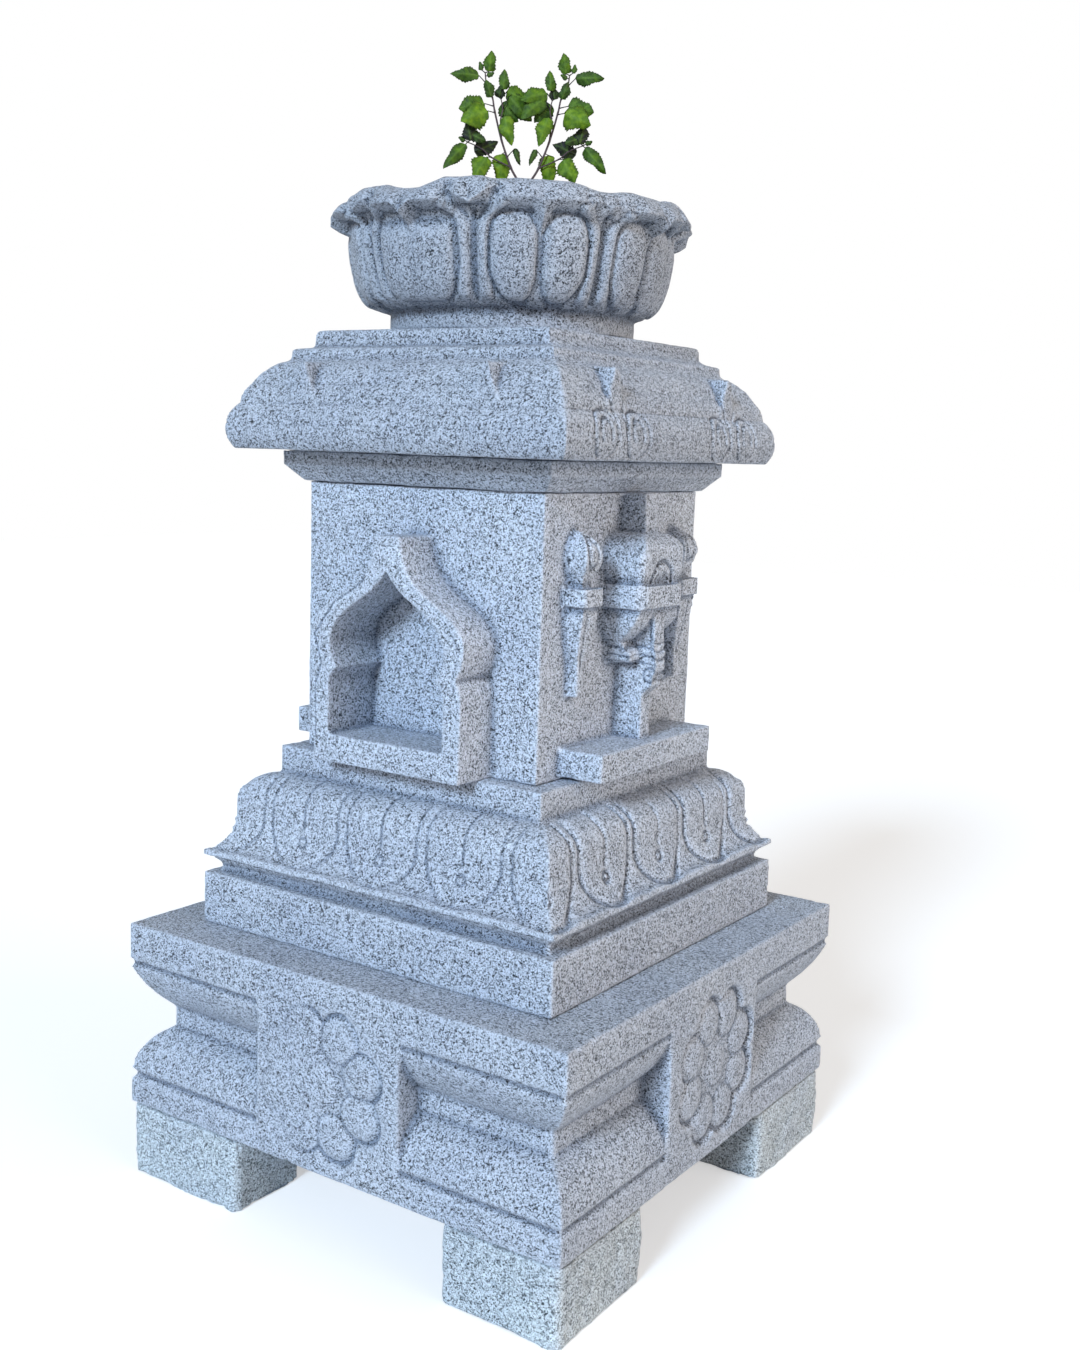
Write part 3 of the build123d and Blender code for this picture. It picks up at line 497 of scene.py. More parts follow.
def wear_grime_and_painted_light(tree, colour, light):
    """Paler at worn edges, darker with painted shade and grime in hollows and carved lines, and painted lighter
    and darker stone by stone.
    """
    arris = attribute(tree, "arris")["Fac"]
    worn = maths(tree, "MAXIMUM", arris, 0.0)
    # Painted shade, with some grime, where the mark is below 0
    dust_and_shade = maths(tree, "MAXIMUM", maths(tree, "MULTIPLY", arris, -1.0), 0.0)
    colour = mix(tree, maths(tree, "MULTIPLY", worn, edge_paleness), colour, light)
    grime_and_shade = maths(tree, "MULTIPLY", dust_and_shade, grime_and_shade_strength)
    colour = mix(tree, grime_and_shade, colour, grime_and_shade_colour, "MULTIPLY")
    # Painted light: each stone's own level multiplies its colour
    return mix(tree, 1.0, colour, attribute(tree, "shade")["Color"], "MULTIPLY")


def granite(name, dark, middle, light, tint, bump=0.6, shift=0.0):
    """Grey granite: pale crystals with fine dark specks, dressed with pits, worn edges, and hollows darkened
    with painted shade and dust.
    """
    material, tree, shader = new_material(name)
    place = add_node(tree, "ShaderNodeTexCoord").outputs["Object"]
    moved = texture(tree, "ShaderNodeMapping", place)
    moved.inputs["Location"].default_value = (shift, shift, shift)
    moved = moved.outputs[0]
    crystal, speck = stone_cells(tree, moved)
    clump = texture(tree, "ShaderNodeTexNoise", moved, scale=clump_scale, detail=2.0)
    tone = maths(tree, "ADD", crystal[0], maths(tree, "MULTIPLY", clump.outputs[0], clump_share))
    coarse = ramp(tree, tone, [
        (mica_end, dark), (quartz_start, middle), (quartz_end, middle), (feldspar_start, light)
    ])
    colour = mix(tree, 1.0, coarse, ramp(tree, speck[0], speck_greys), "MULTIPLY")
    broad = texture(tree, "ShaderNodeTexNoise", moved, scale=patch_scale, detail=4.0, roughness=0.6)
    patch = ramp(tree, broad.outputs[0], [(0.3, patch_shadow), (0.7, tint)])
    colour = wear_grime_and_painted_light(tree, mix(tree, 1.0, colour, patch, "MULTIPLY"), light)
    link(colour, shader.inputs["Base Color"])
    pitted = texture(tree, "ShaderNodeTexNoise", moved, scale=pit_scale, detail=3.0, roughness=0.65)
    crystal_height = maths(tree, "MULTIPLY", crystal[1], crystal_relief)
    add_relief(tree, shader, maths(tree, "ADD", crystal_height, pitted.outputs[0]), bump)
    link(ramp(tree, crystal[0], gloss_greys), shader.inputs["Roughness"])
    shader.inputs["Specular IOR Level"].default_value = stone_specular
    return material


dark_mica = (0.018, 0.023, 0.032)
grey_quartz = (0.19, 0.215, 0.255)
pale_feldspar = (0.53, 0.58, 0.67)
stone_granite = granite("granite", dark_mica, grey_quartz, pale_feldspar, tint=(1.06, 1.05, 1.03))
foot_granite = granite(
    "foot_granite", dark=(0.04, 0.05, 0.06), middle=(0.26, 0.3, 0.33), light=(0.62, 0.68, 0.74),
    tint=(1.08, 1.08, 1.04), bump=0.9, shift=3.7,
)


def plain_material(name, colours, scale, roughness, bump, metallic=0.0):
    """Mottled surface between a few colours, with bumps at the same scale."""
    material, tree, shader = new_material(name)
    place = add_node(tree, "ShaderNodeTexCoord").outputs["Object"]
    mottle = texture(tree, "ShaderNodeTexNoise", place, scale=scale, detail=6.0, roughness=0.62)
    last = len(colours) - 1
    stops = [(0.3 + 0.4 * n / last, colour) for n, colour in enumerate(colours)]
    link(ramp(tree, mottle.outputs[0], stops), shader.inputs["Base Color"])
    add_relief(tree, shader, mottle.outputs[0], bump)
    shader.inputs["Roughness"].default_value = roughness
    shader.inputs["Metallic"].default_value = metallic
    return material


steel_greys = [(0.42, 0.42, 0.43), (0.6, 0.6, 0.61)]
gravel_greys = [(0.16, 0.15, 0.13), (0.42, 0.4, 0.36), (0.6, 0.57, 0.5)]
soil_browns = [(0.03, 0.02, 0.014), (0.1, 0.065, 0.04), (0.2, 0.14, 0.09)]
bark_browns = [(0.035, 0.02, 0.03), (0.09, 0.06, 0.06)]
dowel_steel = plain_material("dowel_steel", steel_greys, scale=90.0, roughness=0.38, bump=0.2, metallic=1.0)
gravel = plain_material("gravel", gravel_greys, scale=110.0, roughness=0.9, bump=1.0)
soil_earth = plain_material("soil", soil_browns, scale=210.0, roughness=0.95, bump=1.0)
stem_bark = plain_material("stem", bark_browns, scale=500.0, roughness=0.7, bump=0.4)

# Greens from the darkest leaf to the brightest, with painted shade at the dark end and painted light at the
# bright end
leaf_greens = [
    (0.0, (0.01, 0.01, 0.013)),
    (0.2, (0.013, 0.022, 0.006)),
    (0.5, (0.03, 0.075, 0.008)),
    (0.75, (0.075, 0.16, 0.006)),
    (1.0, (0.19, 0.31, 0.012)),
]
vein_green = (0.17, 0.29, 0.045)
rim_shadow = (0.45, 0.42, 0.5)
vein_strength = 0.45
leaf_mottle = 0.9
leaf_mottle_middle = 0.43
leaf_mottle_scale = 160.0


def leaf_material():
    """Fresh green blade, paler at its veins, darker at its rim with painted shade, and painted lighter and
    darker from leaf to leaf.
    """
    material, tree, shader = new_material("leaf")
    place = add_node(tree, "ShaderNodeTexCoord").outputs["Object"]
    mottle = texture(tree, "ShaderNodeTexNoise", place, scale=leaf_mottle_scale, detail=4.0).outputs[0]
    spread = maths(tree, "MULTIPLY", mottle, leaf_mottle)
    # The leaf's tint is its painted light level, with a random mottle added
    shade = maths(tree, "ADD", attribute(tree, "tint")["Fac"], spread)
    colour = ramp(tree, maths(tree, "SUBTRACT", shade, leaf_mottle_middle), leaf_greens)
    vein = maths(tree, "MULTIPLY", attribute(tree, "vein")["Fac"], vein_strength)
    colour = mix(tree, vein, colour, vein_green)
    # Painted shade at the blade's rim
    colour = mix(tree, attribute(tree, "rim")["Fac"], colour, rim_shadow, "MULTIPLY")
    link(colour, shader.inputs["Base Color"])
    add_relief(tree, shader, mottle, 0.5, 0.4 * MM)
    shader.inputs["Roughness"].default_value = 0.6
    shader.inputs["Specular IOR Level"].default_value = 0.2
    return material


leaf_green = leaf_material()


def dress(node, **how):
    """Carve a granite stone and let it stand for its CAD node."""
    finish_piece(carved(node, **how), node, stone_granite)


# --- foot blocks

# From here to the eave, sizes without MM are millimetres, and carvings are depths in millimetres

foot_rounding = 0.5
foot_chip = 4 * MM
foot_pits = 0.7 * MM
# What splitting left: hollows, and ledges in a few steps
split_seed = 61
hollow_size = 30 * MM
hollow_depth = 1.4
ledge_size = 46 * MM
ledge_ripple = 15 * MM
ledge_steps = 3
ledge_rise = 0.6
most_proud = 1.5


def rough_split(points, normals):
    """Broad hollows and steps left where a block was split."""
    ledges = noise(points, ledge_size, split_seed) * ledge_steps + noise(points, ledge_ripple, split_seed + 1)
    hollows = hollow_depth * noise(points, hollow_size, split_seed + 2)
    return np.maximum(hollows + np.floor(ledges) * ledge_rise + ledge_rise, -most_proud)


def half_round(points):
    """The same share of rounding all over."""
    return np.full(len(points), foot_rounding)


def stand_flat(block):
    """Rest the block on the ground plane and reach up to the plinth's bed."""
    points = read_points(block.data)
    low, high = points[:, 2].min(), points[:, 2].max()
    points[:, 2] = (points[:, 2] - low) / (high - low) * plinth_low.z
    write_points(block.data, points)


for number, foot in enumerate(("foot_front_left", "foot_front_right", "foot_back_left", "foot_back_right")):
    block = carved(
        foot, seed=10 + 7 * number, carving=rough_split, voxel=foot_voxel, rounding=half_round, rounds=24,
        chip=foot_chip, pits=foot_pits,
    )
    stand_flat(block)
    finish_piece(block, foot, foot_granite)

# --- plinth

flower_height = 102
lobe_angle = math.tau / 8
lobe_turn = 0.36
lobe_ring = 58
lobe_half_length = 27
lobe_half_width = 25
lobe_crown = 0.8
lobe_fall = 5.0
heart_radius = 25
heart_crown = 1.5
heart_fall = 3.5
heart_moat = 1.16 * heart_radius
bed_depth = 4.5
bed_fall = 4.0
# How far each side's flower stands off the panel's middle, how clear it is, and where the front one fades
flower_shifts = (-8, 10, 0.0, 0.0)
right_clear = 0.9
back_clear = 1.0
left_clear = 0.8
fade_end = -40
fade_start = 20
faded_share = 0.08
# The disc that fills the CAD stone's own flower, a hair behind the panel's face
disc_height = plinth_low.z + 105 * MM
disc_radius = 87 * MM
disc_thickness = 8.5 * MM
disc_lap = 0.05 * MM
disc_gap = 0.02 * MM


def flower_carving(across, up):
    """Depth of a sunk flower: eight round lobes about a domed heart, on a scalloped bed."""
    radius = np.hypot(across, up)
    turn = from_nearest(np.arctan2(up, across) - lobe_turn, lobe_angle)
    along, beside = radius * np.cos(turn) - lobe_ring, radius * np.sin(turn)
    lobe = np.hypot(along / lobe_half_length, beside / lobe_half_width)
    heart = radius / heart_radius
    bed = (1 - step(lobe, 1.14, 1.24)) * (radius > lobe_ring) + (radius <= lobe_ring)
    dome = lobe_crown + lobe_fall * np.clip(lobe, 0, 1) ** 4
    centre = heart_crown + heart_fall * np.clip(heart, 0, 1) ** 3
    floor = bed_depth + bed_fall * step(radius, lobe_ring, lobe_ring + 0.6 * lobe_half_length)
    depth = np.where(lobe < 1, dome, floor)
    depth = np.where((radius < heart_moat) & (heart >= 1), floor, depth)
    depth = np.where(heart < 1, centre, depth)
    return depth * bed


def plinth_carving(points, normals):
    """A flower on each side's panel, the front one worn faint on its left."""
    side, across, out, height = on_faces(points, plinth_low.z)
    shift = np.choose(side, flower_shifts)
    on_face = out > plinth_high.x / MM - 2
    front_clear = faded_share + (1 - faded_share) * step(across, fade_end, fade_start)
    clear = np.choose(side, (front_clear, right_clear, back_clear, left_clear))
    return flower_carving(across - shift, height - flower_height) * clear * on_face


def flower_disc(quarter):
    """Radius, thickness and place of the disc for one side."""
    facing = Matrix.Rotation(quarter * math.pi / 2, 4, "Z")
    lying = Matrix.Rotation(math.pi / 2, 4, "X")
    place = Vector((0, -plinth_high.x + (disc_thickness + disc_lap) / 2 + disc_gap, disc_height))
    return disc_radius, disc_thickness, facing @ Matrix.Translation(place) @ lying


flower_discs = [flower_disc(quarter) for quarter in range(4)]
dress("base_plinth", seed=101, carving=plinth_carving, voxel=plinth_voxel, fillings=flower_discs)

# --- lotus pedestal

bell_lip = 81
bell_shoulder = bell_lip + 98
petal_pitch = 111.5
petal_half = 48.5
petal_round = 42
petal_tip = bell_lip + 7
petal_line = 6.5
petal_line_depth = 4.2
petal_ground = 0.6
petal_crown = 0.8
vein_line = 6
vein_foot = bell_lip + 42
vein_depth = 4.0
eye_height = bell_lip + 32
eye_radius = 5.5
faint_front = 0.3
lip_reach = 251
lip_band = 26
lip_proud = 2.6


def pedestal_carving(points, normals):
    """Broad petals with a line down their middle to a small eye, worn faint on the front."""
    side, across, out, height = on_faces(points, pedestal_level)
    on_bell = step(height, bell_lip + 2, bell_lip + 5)
    on_bell = on_bell * (1 - step(height, bell_shoulder - 3, bell_shoulder))
    petal = from_nearest(across, petal_pitch)
    outline = oval_gap(petal, np.maximum(petal_tip + petal_round - height, 0), petal_half, petal_round)
    depth = petal_line_depth * groove(outline, petal_line)
    depth += petal_ground * step(outline, 0, 3)
    vein = groove(petal, vein_line) * step(height, vein_foot, vein_foot + 8)
    eye = np.hypot(petal, height - eye_height)
    depth += vein_depth * (vein + groove(eye - eye_radius, eye_radius))
    depth -= petal_crown * step(-outline, 0, 12) * (1 - vein)
    faint = np.where(side == 0, faint_front, 1.0)
    lip = groove(height - bell_lip - 1, lip_band) * step(out, lip_reach - 14, lip_reach - 5)
    return depth * on_bell * faint - lip_proud * lip


# The pedestal is painted 5% lighter as painted light; its carved lines take painted shade and grime
dress("padma_pedestal", seed=201, carving=pedestal_carving, grimy=0.7, shade=1.05)

# --- shaft and cornice

shaft_face = 161
belt_lap = 1
fine_line = 4
line_width = 4.5
# Half the width of the niche's surround at some heights, and the line inside its edge, fainter on the right
surround_heights = (0.0, 86, 110, 142, 179, 206, 254)
surround_halves = (102, 103, 95, 105.5, 78, 38, 17)
surround_inset = 4.5
surround_top = 246
surround_depth = 2.0
faint_right = 0.3
# The figure, its belt, the small arch on its dome and the folds of its cloth
figure_half = 52
figure_foot = 60
belt_low = 180
belt_high = 208
belt_depth = 4.0
belt_fade = 12
arch_radius = 22
arch_line = 6
arch_depth = 3.5
arch_floor = 1.5
arch_reach = 30
fold_first = 118
fold_low = 117
fold_high = 143
fold_pitch = 9
fold_line = 5
fold_depth = 2.6
# The fin's scroll, and how far its edge stands out at some heights
fin_half = 14
fin_low = 82
fin_high = 176
scroll_reach = 44
scroll_height = 106
scroll_radius = 8
scroll_depth = 2.6
scroll_eye_depth = 1.6
fin_edge_low = 122
fin_edge_inset = 6
fin_edge_depth = 2.4
fin_edge_heights = (84, 94, 118, 138, 160, 208)
fin_edge_reaches = (40, 47, 53, 50, 49.5, 52)
# The emblems beside the figure, each a bud over a belt and a body with one waving line
emblem_place = 105
emblem_half = 22
emblem_belt_low = 185
emblem_belt_high = 208
emblem_belt_depth = 3.0
bud_height = 243
bud_half_width = 9
bud_half_height = 17
bud_line = 5.5
bud_depth = 3.2
bud_reach = 14
wave_low = 118
wave_high = 180
wave_reach = 12
wave_swing = 5
wave_length = 36
wave_depth = 2.6


def belt_edges(height, low, high, above, below):
    """Cuts that set off a belt, and fade out above and below it."""
    over = np.clip(1 - np.abs(height - high - belt_lap) / above, 0, 1) * (height > high - belt_lap)
    under = np.clip(1 - np.abs(height - low + belt_lap) / below, 0, 1) * (height < low + belt_lap)
    return over + under


def surround_carving(across, height):
    """Line at an even distance inside the surround's edge."""
    above = np.interp(height + 1, surround_heights, surround_halves)
    below = np.interp(height - 1, surround_heights, surround_halves)
    inset = ((below + above) / 2 - np.abs(across)) / np.hypot(1, (above - below) / 2)
    clear = np.where(across < 0, 1.0, faint_right) * (height < surround_top)
    return surround_depth * groove(inset - surround_inset, fine_line) * clear


def figure_carving(across, height, proud):
    figure = (np.abs(across) < figure_half) * (height > figure_foot)
    depth = belt_depth * belt_edges(height, belt_low, belt_high, belt_fade, belt_fade)
    arch = np.hypot(across, height - belt_high - 2)
    on_dome = (height > belt_high) * (proud > arch_reach)
    depth += arch_depth * groove(arch - arch_radius, arch_line) * on_dome
    depth += arch_floor * (1 - step(arch, 12, 16)) * on_dome
    wave = height + 2 * np.cos(across / 6) + 0.12 * proud
    folds = groove((wave - fold_first) % fold_pitch - fold_pitch / 2, fold_line)
    depth += fold_depth * folds * (height > fold_low) * (height < fold_high)
    return depth * figure


def fin_carving(across, height, proud):
    on_fin = (np.abs(across) < fin_half) * (height < fin_high) * (height > fin_low)
    scroll = np.hypot(proud - scroll_reach, height - scroll_height)
    depth = scroll_depth * groove(scroll - scroll_radius, line_width)
    depth += scroll_eye_depth * groove(scroll - 1, fine_line)
    edge = np.interp(height, fin_edge_heights, fin_edge_reaches) - fin_edge_inset
    depth += fin_edge_depth * groove(edge - proud, line_width) * (height > fin_edge_low)
    return depth * on_fin


def emblem_carving(across, height, proud):
    beside = np.abs(across) - emblem_place
    belt = belt_edges(height, emblem_belt_low, emblem_belt_high, 8, 9)
    bud = np.hypot(beside / bud_half_width, (height - bud_height) / bud_half_height)
    bud_ring = groove((bud - 1) * bud_half_width, bud_line) * (proud > bud_reach)
    strip = groove(beside - wave_swing * np.cos((height - wave_high) / wave_length), line_width)
    strip = strip * (proud > wave_reach) * (height < wave_high) * (height > wave_low)
    depth = emblem_belt_depth * belt + bud_depth * bud_ring + wave_depth * strip
    return depth * (np.abs(beside) < emblem_half)


def shaft_carving(points, normals):
    """Lines that set off the surround, and on the other sides the parts of the figure and its emblems."""
    side, across, out, height = on_faces(points, shaft_level)
    proud = out - shaft_face
    standing = step(proud, 1, 5) * (side > 0)
    on_surround = (side == 0) * (proud > 50) * (normals[:, 1] < -0.9) * step(height, 24, 30)
    figure = figure_carving(across, height, proud)
    depth = np.where(on_surround, surround_carving(across, height), figure)
    depth += fin_carving(across, height, proud) + emblem_carving(across, height, proud)
    return depth * (standing + on_surround)


# The shaft is painted 12% lighter as painted light; its carved lines take painted shade and grime
dress("shaft", seed=301, carving=shaft_carving, voxel=shaft_voxel, grimy=0.6, shade=1.12)
dress("cornice_slab", seed=401)

# --- eave

fascia_top = 48
hollow_fill = 4.2
hollow_band = 44
# How far the top steps are worn away on each side
step_low = 88
step_reach = 140
step_wear = (0.5, 1.0, 0.6, 0.5)
# A pair of scrolls under each rib, with the rib's stem between them
rib_place = 122
pair_spread = 31
pair_height = 26
ring_half_width = 22
ring_half_height = 25
ring_depth = 3.2
inner_half_width = 10
inner_half_height = 14
inner_depth = 3.0
stem_half_width = 8
stem_flare = 5
stem_depth = 2.4
fascia_line_depth = 0.5
worn_front = 0.15


def eave_rounding(points):
    """The steps on top are worn, most of all on the right side."""
    side, across, out, height = on_faces(points, eave_level)
    most = np.choose(side, step_wear)
    return most * step(height, step_low, step_low + 8) * step(out, step_reach, step_reach + 10)


def eave_raising(points):
    """The hollow above the fascia is shallow."""
    height = (points[:, 2] - eave_level) / MM
    return hollow_fill * groove(height - fascia_top - 2, hollow_band)


def eave_carving(points, normals):
    """The scrolls, the stems and the fascia's upper line, nearly worn away on the front."""
    side, across, out, height = on_faces(points, eave_level)
    beside = np.abs(np.abs(across) - rib_place)
    scroll = beside - pair_spread
    up = height - pair_height
    ring = oval_gap(scroll, up, ring_half_width, ring_half_height)
    inner = oval_gap(scroll, up - 2, inner_half_width, inner_half_height)
    depth = ring_depth * groove(ring, fine_line)
    depth += inner_depth * groove(inner, fine_line) * (1 - step(-up, 2, 8))
    stem = groove(beside - stem_half_width - stem_flare * step(height, 44, 66), fine_line)
    depth += stem_depth * stem * (ring > 2) * step(height, 18, 24)
    line = groove(height - fascia_top, fine_line) * step(ring, 1, 4)
    depth += fascia_line_depth * line * step(beside, 20, 26)
    faint = np.where(side == 0, worn_front, 1.0)
    return depth * faint * step(height, 2, 6) * (1 - step(height, 68, 76))


# The eave is painted 7% darker as painted shade; its carved lines take painted shade and grime
dress(
    "eave_stone", seed=501, carving=eave_carving, voxel=eave_voxel, rounding=eave_rounding, rounds=170,
    raising=eave_raising, most=eave_triangles, grimy=0.95, shade=0.93, swell=0.4 * MM, pits=0.2 * MM,
)

# --- lotus bowl, in millimetres and degrees

petals = 8
petal_angle = 360 / petals
half_petal = petal_angle / 2
bowl_columns = petals * 90
bowl_shift = (-3.0 * MM, -2.0 * MM, 0.0)
# The bowl is painted 20% darker as painted shade
bowl_shade = 0.8
bowl_chip = 0.7 * MM
dowel_hole_radius = 8.4
dowel_hole_depth = 35
foot_radii = (50, 95, 125, 137.5)
neck_radius = 139
neck_heights = (1.5, 4, 7, 10, 13, 16)
# Rings of (radius, height, steps to the next ring) up the belly, and down the hollow to its floor
belly_rings = (
    (neck_radius, 20, 1),
    (141, 22, 3),
    (151, 26, 5),
    (160, 33, 7),
    (166, 44, 8),
    (170.5, 58, 9),
    (174, 74, 9),
    (177, 90, 7),
)
hollow_rings = ((163, 128, 4), (161, 116, 4), (155, 88, 4), (142, 60, 4), (118, 42, 4))
floor_height = 42
floor_radii = (80, 10)
# The lip, the underside that carries it, and the crest over it
lip_root = 185
lip_under = 116
lip_radius = 199
lip_height = 124
crest_height = 139
crest_radius = 180
# How far the lip falls at a tongue and in a valley, and rises where its tip still curls
tongue_drop = 14
lip_tongue_drop = 11
valley_drop = 6
curl_rise = 4
curl_fall = 3
notch_depth = 11
falling_rise = 13
ridge_rise = 9
lifted_rise = 8
raised_rise = 5
# The petals that are worn smooth, raised and merged, and how much of each curled tip between petals is left
worn_petal_turn = -45
raised_petal_turn = 0
merged_petal_turn = -90
tip_turns = (-157.5, -112.5, -67.5, -22.5, 22.5, 67.5, 112.5, 157.5)
tip_strengths = (0.7, 0.7, 1.0, 0.15, 0.8, 0.9, 0.7, 0.8)
ridge_turns = (-157.5, -108, -71, -22.5, 22.5, 67.5, 112.5, 157.5)
tip_half_angle = 10.5
# The two bosses on each petal, the moat round them, the rope outside them and the seam between petals
boss_angle = 9.0
boss_half_angle = 7.9
boss_middle = 71
boss_half_height = 43
boss_proud = 8.0
boss_power = 3.2
moat_depth = 2.0
rope_angle = 18.6
rope_half_angle = 2.6
rope_proud = 5.5
seam_width = 2.4
seam_depth = 2.5


def bowl_controls(turn):
    """Rings of (radius, height, steps) up the outside, over the lip and down the inside."""
    side = np.abs(from_nearest(turn, petal_angle))
    flat = np.zeros_like(turn)
    worn = 1 - step(np.abs(turn - worn_petal_turn), 15, 24)
    lifted = 1 - step(np.abs(turn - worn_petal_turn), 8, 22)
    raised = 1 - step(np.abs(turn - raised_petal_turn), 10, 22)
    full = 1 - 0.7 * worn
    tip = flat
    ridge = flat
    for tip_turn, ridge_turn, strength in zip(tip_turns, ridge_turns, tip_strengths):
        tip = tip + strength * np.clip(1 - np.abs(turn - tip_turn) / tip_half_angle, 0, 1)
        ridge = ridge + strength * np.clip(1.7 - np.abs(turn - ridge_turn) / 9, 0, 1)
    curled = step(tip, 0.0, 0.35)
    tongue = np.clip(1 - side / 4.0, 0, 1) ** 1.3
    valley = step(side, 15, 20)
    valley_bend = curl_rise * curled * valley - valley_drop * valley * (1 - curled)
    notch = np.clip(1 - np.abs(side - 14) / 3.5, 0, 1) * np.clip(2 * tip + 0.2, 0, 1)
    mid = 1 - step(side, 9, 17)
    falling = np.clip((half_petal - side) / (half_petal - 14), 0, 1) * step(side, 11.5, 14) * curled
    under = lip_under - tongue_drop * tongue + valley_bend
    radius = lip_radius + 6 * full * mid + valley_bend - notch_depth * notch
    height = lip_height - lip_tongue_drop * tongue * full + falling_rise * falling
    height = height - curl_fall * curled * tip + 3 * worn
    crest = crest_height + ridge_rise * ridge + lifted_rise * lifted * (1 - ridge) + raised_rise * raised
    lip_rings = [
        (179, under - 9, 5),
        (182, under - 2, 3),
        (lip_root, under, 3),
        (0.5 * (lip_root + radius), under + 0.45 * (height - under) - 1.5, 3),
        (radius - 1.5, height - 2.5, 3),
        (radius, height, 4),
        (radius - 2.5, height + 4.5, 5),
        (0.55 * radius + 0.45 * 186, 0.5 * (height + crest) + 2, 5),
        (187 + 4 * tip, crest - 2, 5),
        (crest_radius + 3 * tip, crest + 0.5, 5),
        (171, crest - 0.5, 4),
        (166, crest - 4, 3),
    ]
    rings = [*belly_rings, *lip_rings, *hollow_rings]
    return [(radius + flat, height + flat, steps) for radius, height, steps in rings]


def curve_point(a, b, c, d, t):
    """Point of the smooth curve from b to c, where a and d are the points on either side."""
    bend = 2 * a - 5 * b + 4 * c - d
    twist = 3 * b - a - 3 * c + d
    return 0.5 * (2 * b + (c - a) * t + bend * t**2 + twist * t**3)


def four_near(points, n):
    """The point before n, n itself and the two after it, with the ends repeated."""
    last = len(points) - 1
    return [points[max(min(n + k, last), 0)] for k in (-1, 0, 1, 2)]


def spline_rows(rings):
    """Smooth rows through the rings, with each ring's own number of steps to the next."""
    rows = []
    for n, (_, _, steps) in enumerate(rings[:-1]):
        near = [ring[:2] for ring in four_near(rings, n)]
        rows += [tuple(curve_point(*values, s / steps) for values in zip(*near)) for s in range(steps)]
    return rows + [rings[-1][:2]]


def bowl_shell():
    """Closed shell of revolution with petal tips, from the dowel hole round to the hollow's floor."""
    turn = np.arange(bowl_columns) * 360 / bowl_columns - 180
    flat = np.zeros_like(turn)
    rows = [(dowel_hole_radius, dowel_hole_depth), (dowel_hole_radius, 0)]
    rows += [(radius, 0) for radius in foot_radii]
    rows += [(neck_radius, height) for height in neck_heights]
    rows += spline_rows(bowl_controls(turn))
    rows += [(radius, floor_height) for radius in floor_radii]
    rings = np.array([
        (radius * np.cos(np.radians(turn)), radius * np.sin(np.radians(turn)), height + flat)
        for radius, height in rows
    ])
    rings = rings.transpose(0, 2, 1) * MM + np.array((0, 0, bowl_low.z))
    made = bmesh.new()
    add_shell(made, rings.tolist())
    return made_piece("lotus_bowl_stone", made)


def bowl_carving(points):
    """How far the bosses and the round borders of the petals stand out."""
    radius = np.hypot(points[:, 0], points[:, 1])
    turn = np.degrees(np.arctan2(points[:, 1], points[:, 0]))
    side = np.abs(from_nearest(turn, petal_angle))
    height = (points[:, 2] - bowl_low.z) / MM
    outside = step(radius, 138 * MM, 142 * MM) * (radius < 196 * MM)
    below_lip = 1 - step(height, 113, 119)
    narrow = 0.84 + 0.16 * step(height, 22, 62)
    across = np.abs(side - boss_angle * narrow) / (boss_half_angle * narrow)
    up = np.abs(height - boss_middle) / boss_half_height
    oval = across**boss_power + up**boss_power
    boss = np.clip(1 - oval, 0, 1) ** 0.4
    merged = np.clip(1 - (side / 15.5) ** 6 - up**4, 0, 1) ** 0.4 * step(height, 108, 94)
    joined = np.abs(turn - merged_petal_turn) < half_petal
    crease = groove(side, 5.0) * step(height, 84, 104)
    boss = np.where(joined, 0.2 * boss + 0.8 * merged - 0.35 * crease * merged, boss)
    moat = groove(oval ** (1 / boss_power) - 1.08, 0.18) * (side > 3)
    moat = moat * np.where(joined, 0.5 * (side > 9), 1.0)
    lean = (rope_angle - 5 * step(height, 100, 124)) * (0.93 + 0.07 * narrow)
    rope = np.clip(1 - ((side - lean) / rope_half_angle) ** 2, 0, 1) ** 0.5
    rope *= step(height, 24, 36) * (1 - step(height, 122, 132)) * step(oval, 1.0, 1.5)
    seam = groove(side - half_petal, seam_width) * step(height, 22, 30) * below_lip
    relief = (boss_proud * boss - moat_depth * moat) * below_lip + rope_proud * rope - seam_depth * seam
    return outside * relief * MM


def make_bowl():
    """The bowl's shell, then its petals, its ragged lip, its shift from the axis and its wear."""
    piece = bowl_shell()
    mesh = piece.data
    push_out(mesh, bowl_carving(read_points(mesh)))
    points = read_points(mesh)
    rough = step(points[:, 2] - bowl_low.z, 112 * MM, 122 * MM)
    rough *= step(np.hypot(points[:, 0], points[:, 1]), 165 * MM, 178 * MM)
    ragged = 0.7 * noise(points, 28 * MM, 71) + 0.2 * noise(points, 9 * MM, 72) - 0.2
    push_out(mesh, rough * ragged * MM)
    points = read_points(mesh)
    moved = step(np.hypot(points[:, 0], points[:, 1]), 130 * MM, 165 * MM)[:, None]
    write_points(mesh, points + moved * np.array(bowl_shift))
    weather(piece, 601, shade=bowl_shade, chip=bowl_chip)
    return piece


finish_piece(make_bowl(), "lotus_bowl", stone_granite)

# --- soil

soil_radius = 160 * MM
soil_side = 30 * MM
soil_taper = 0.93
soil_rings = 70
soil_spokes = 200
edge_start = 120 * MM
edge_drop = 3 * MM
lump_drop = 4 * MM


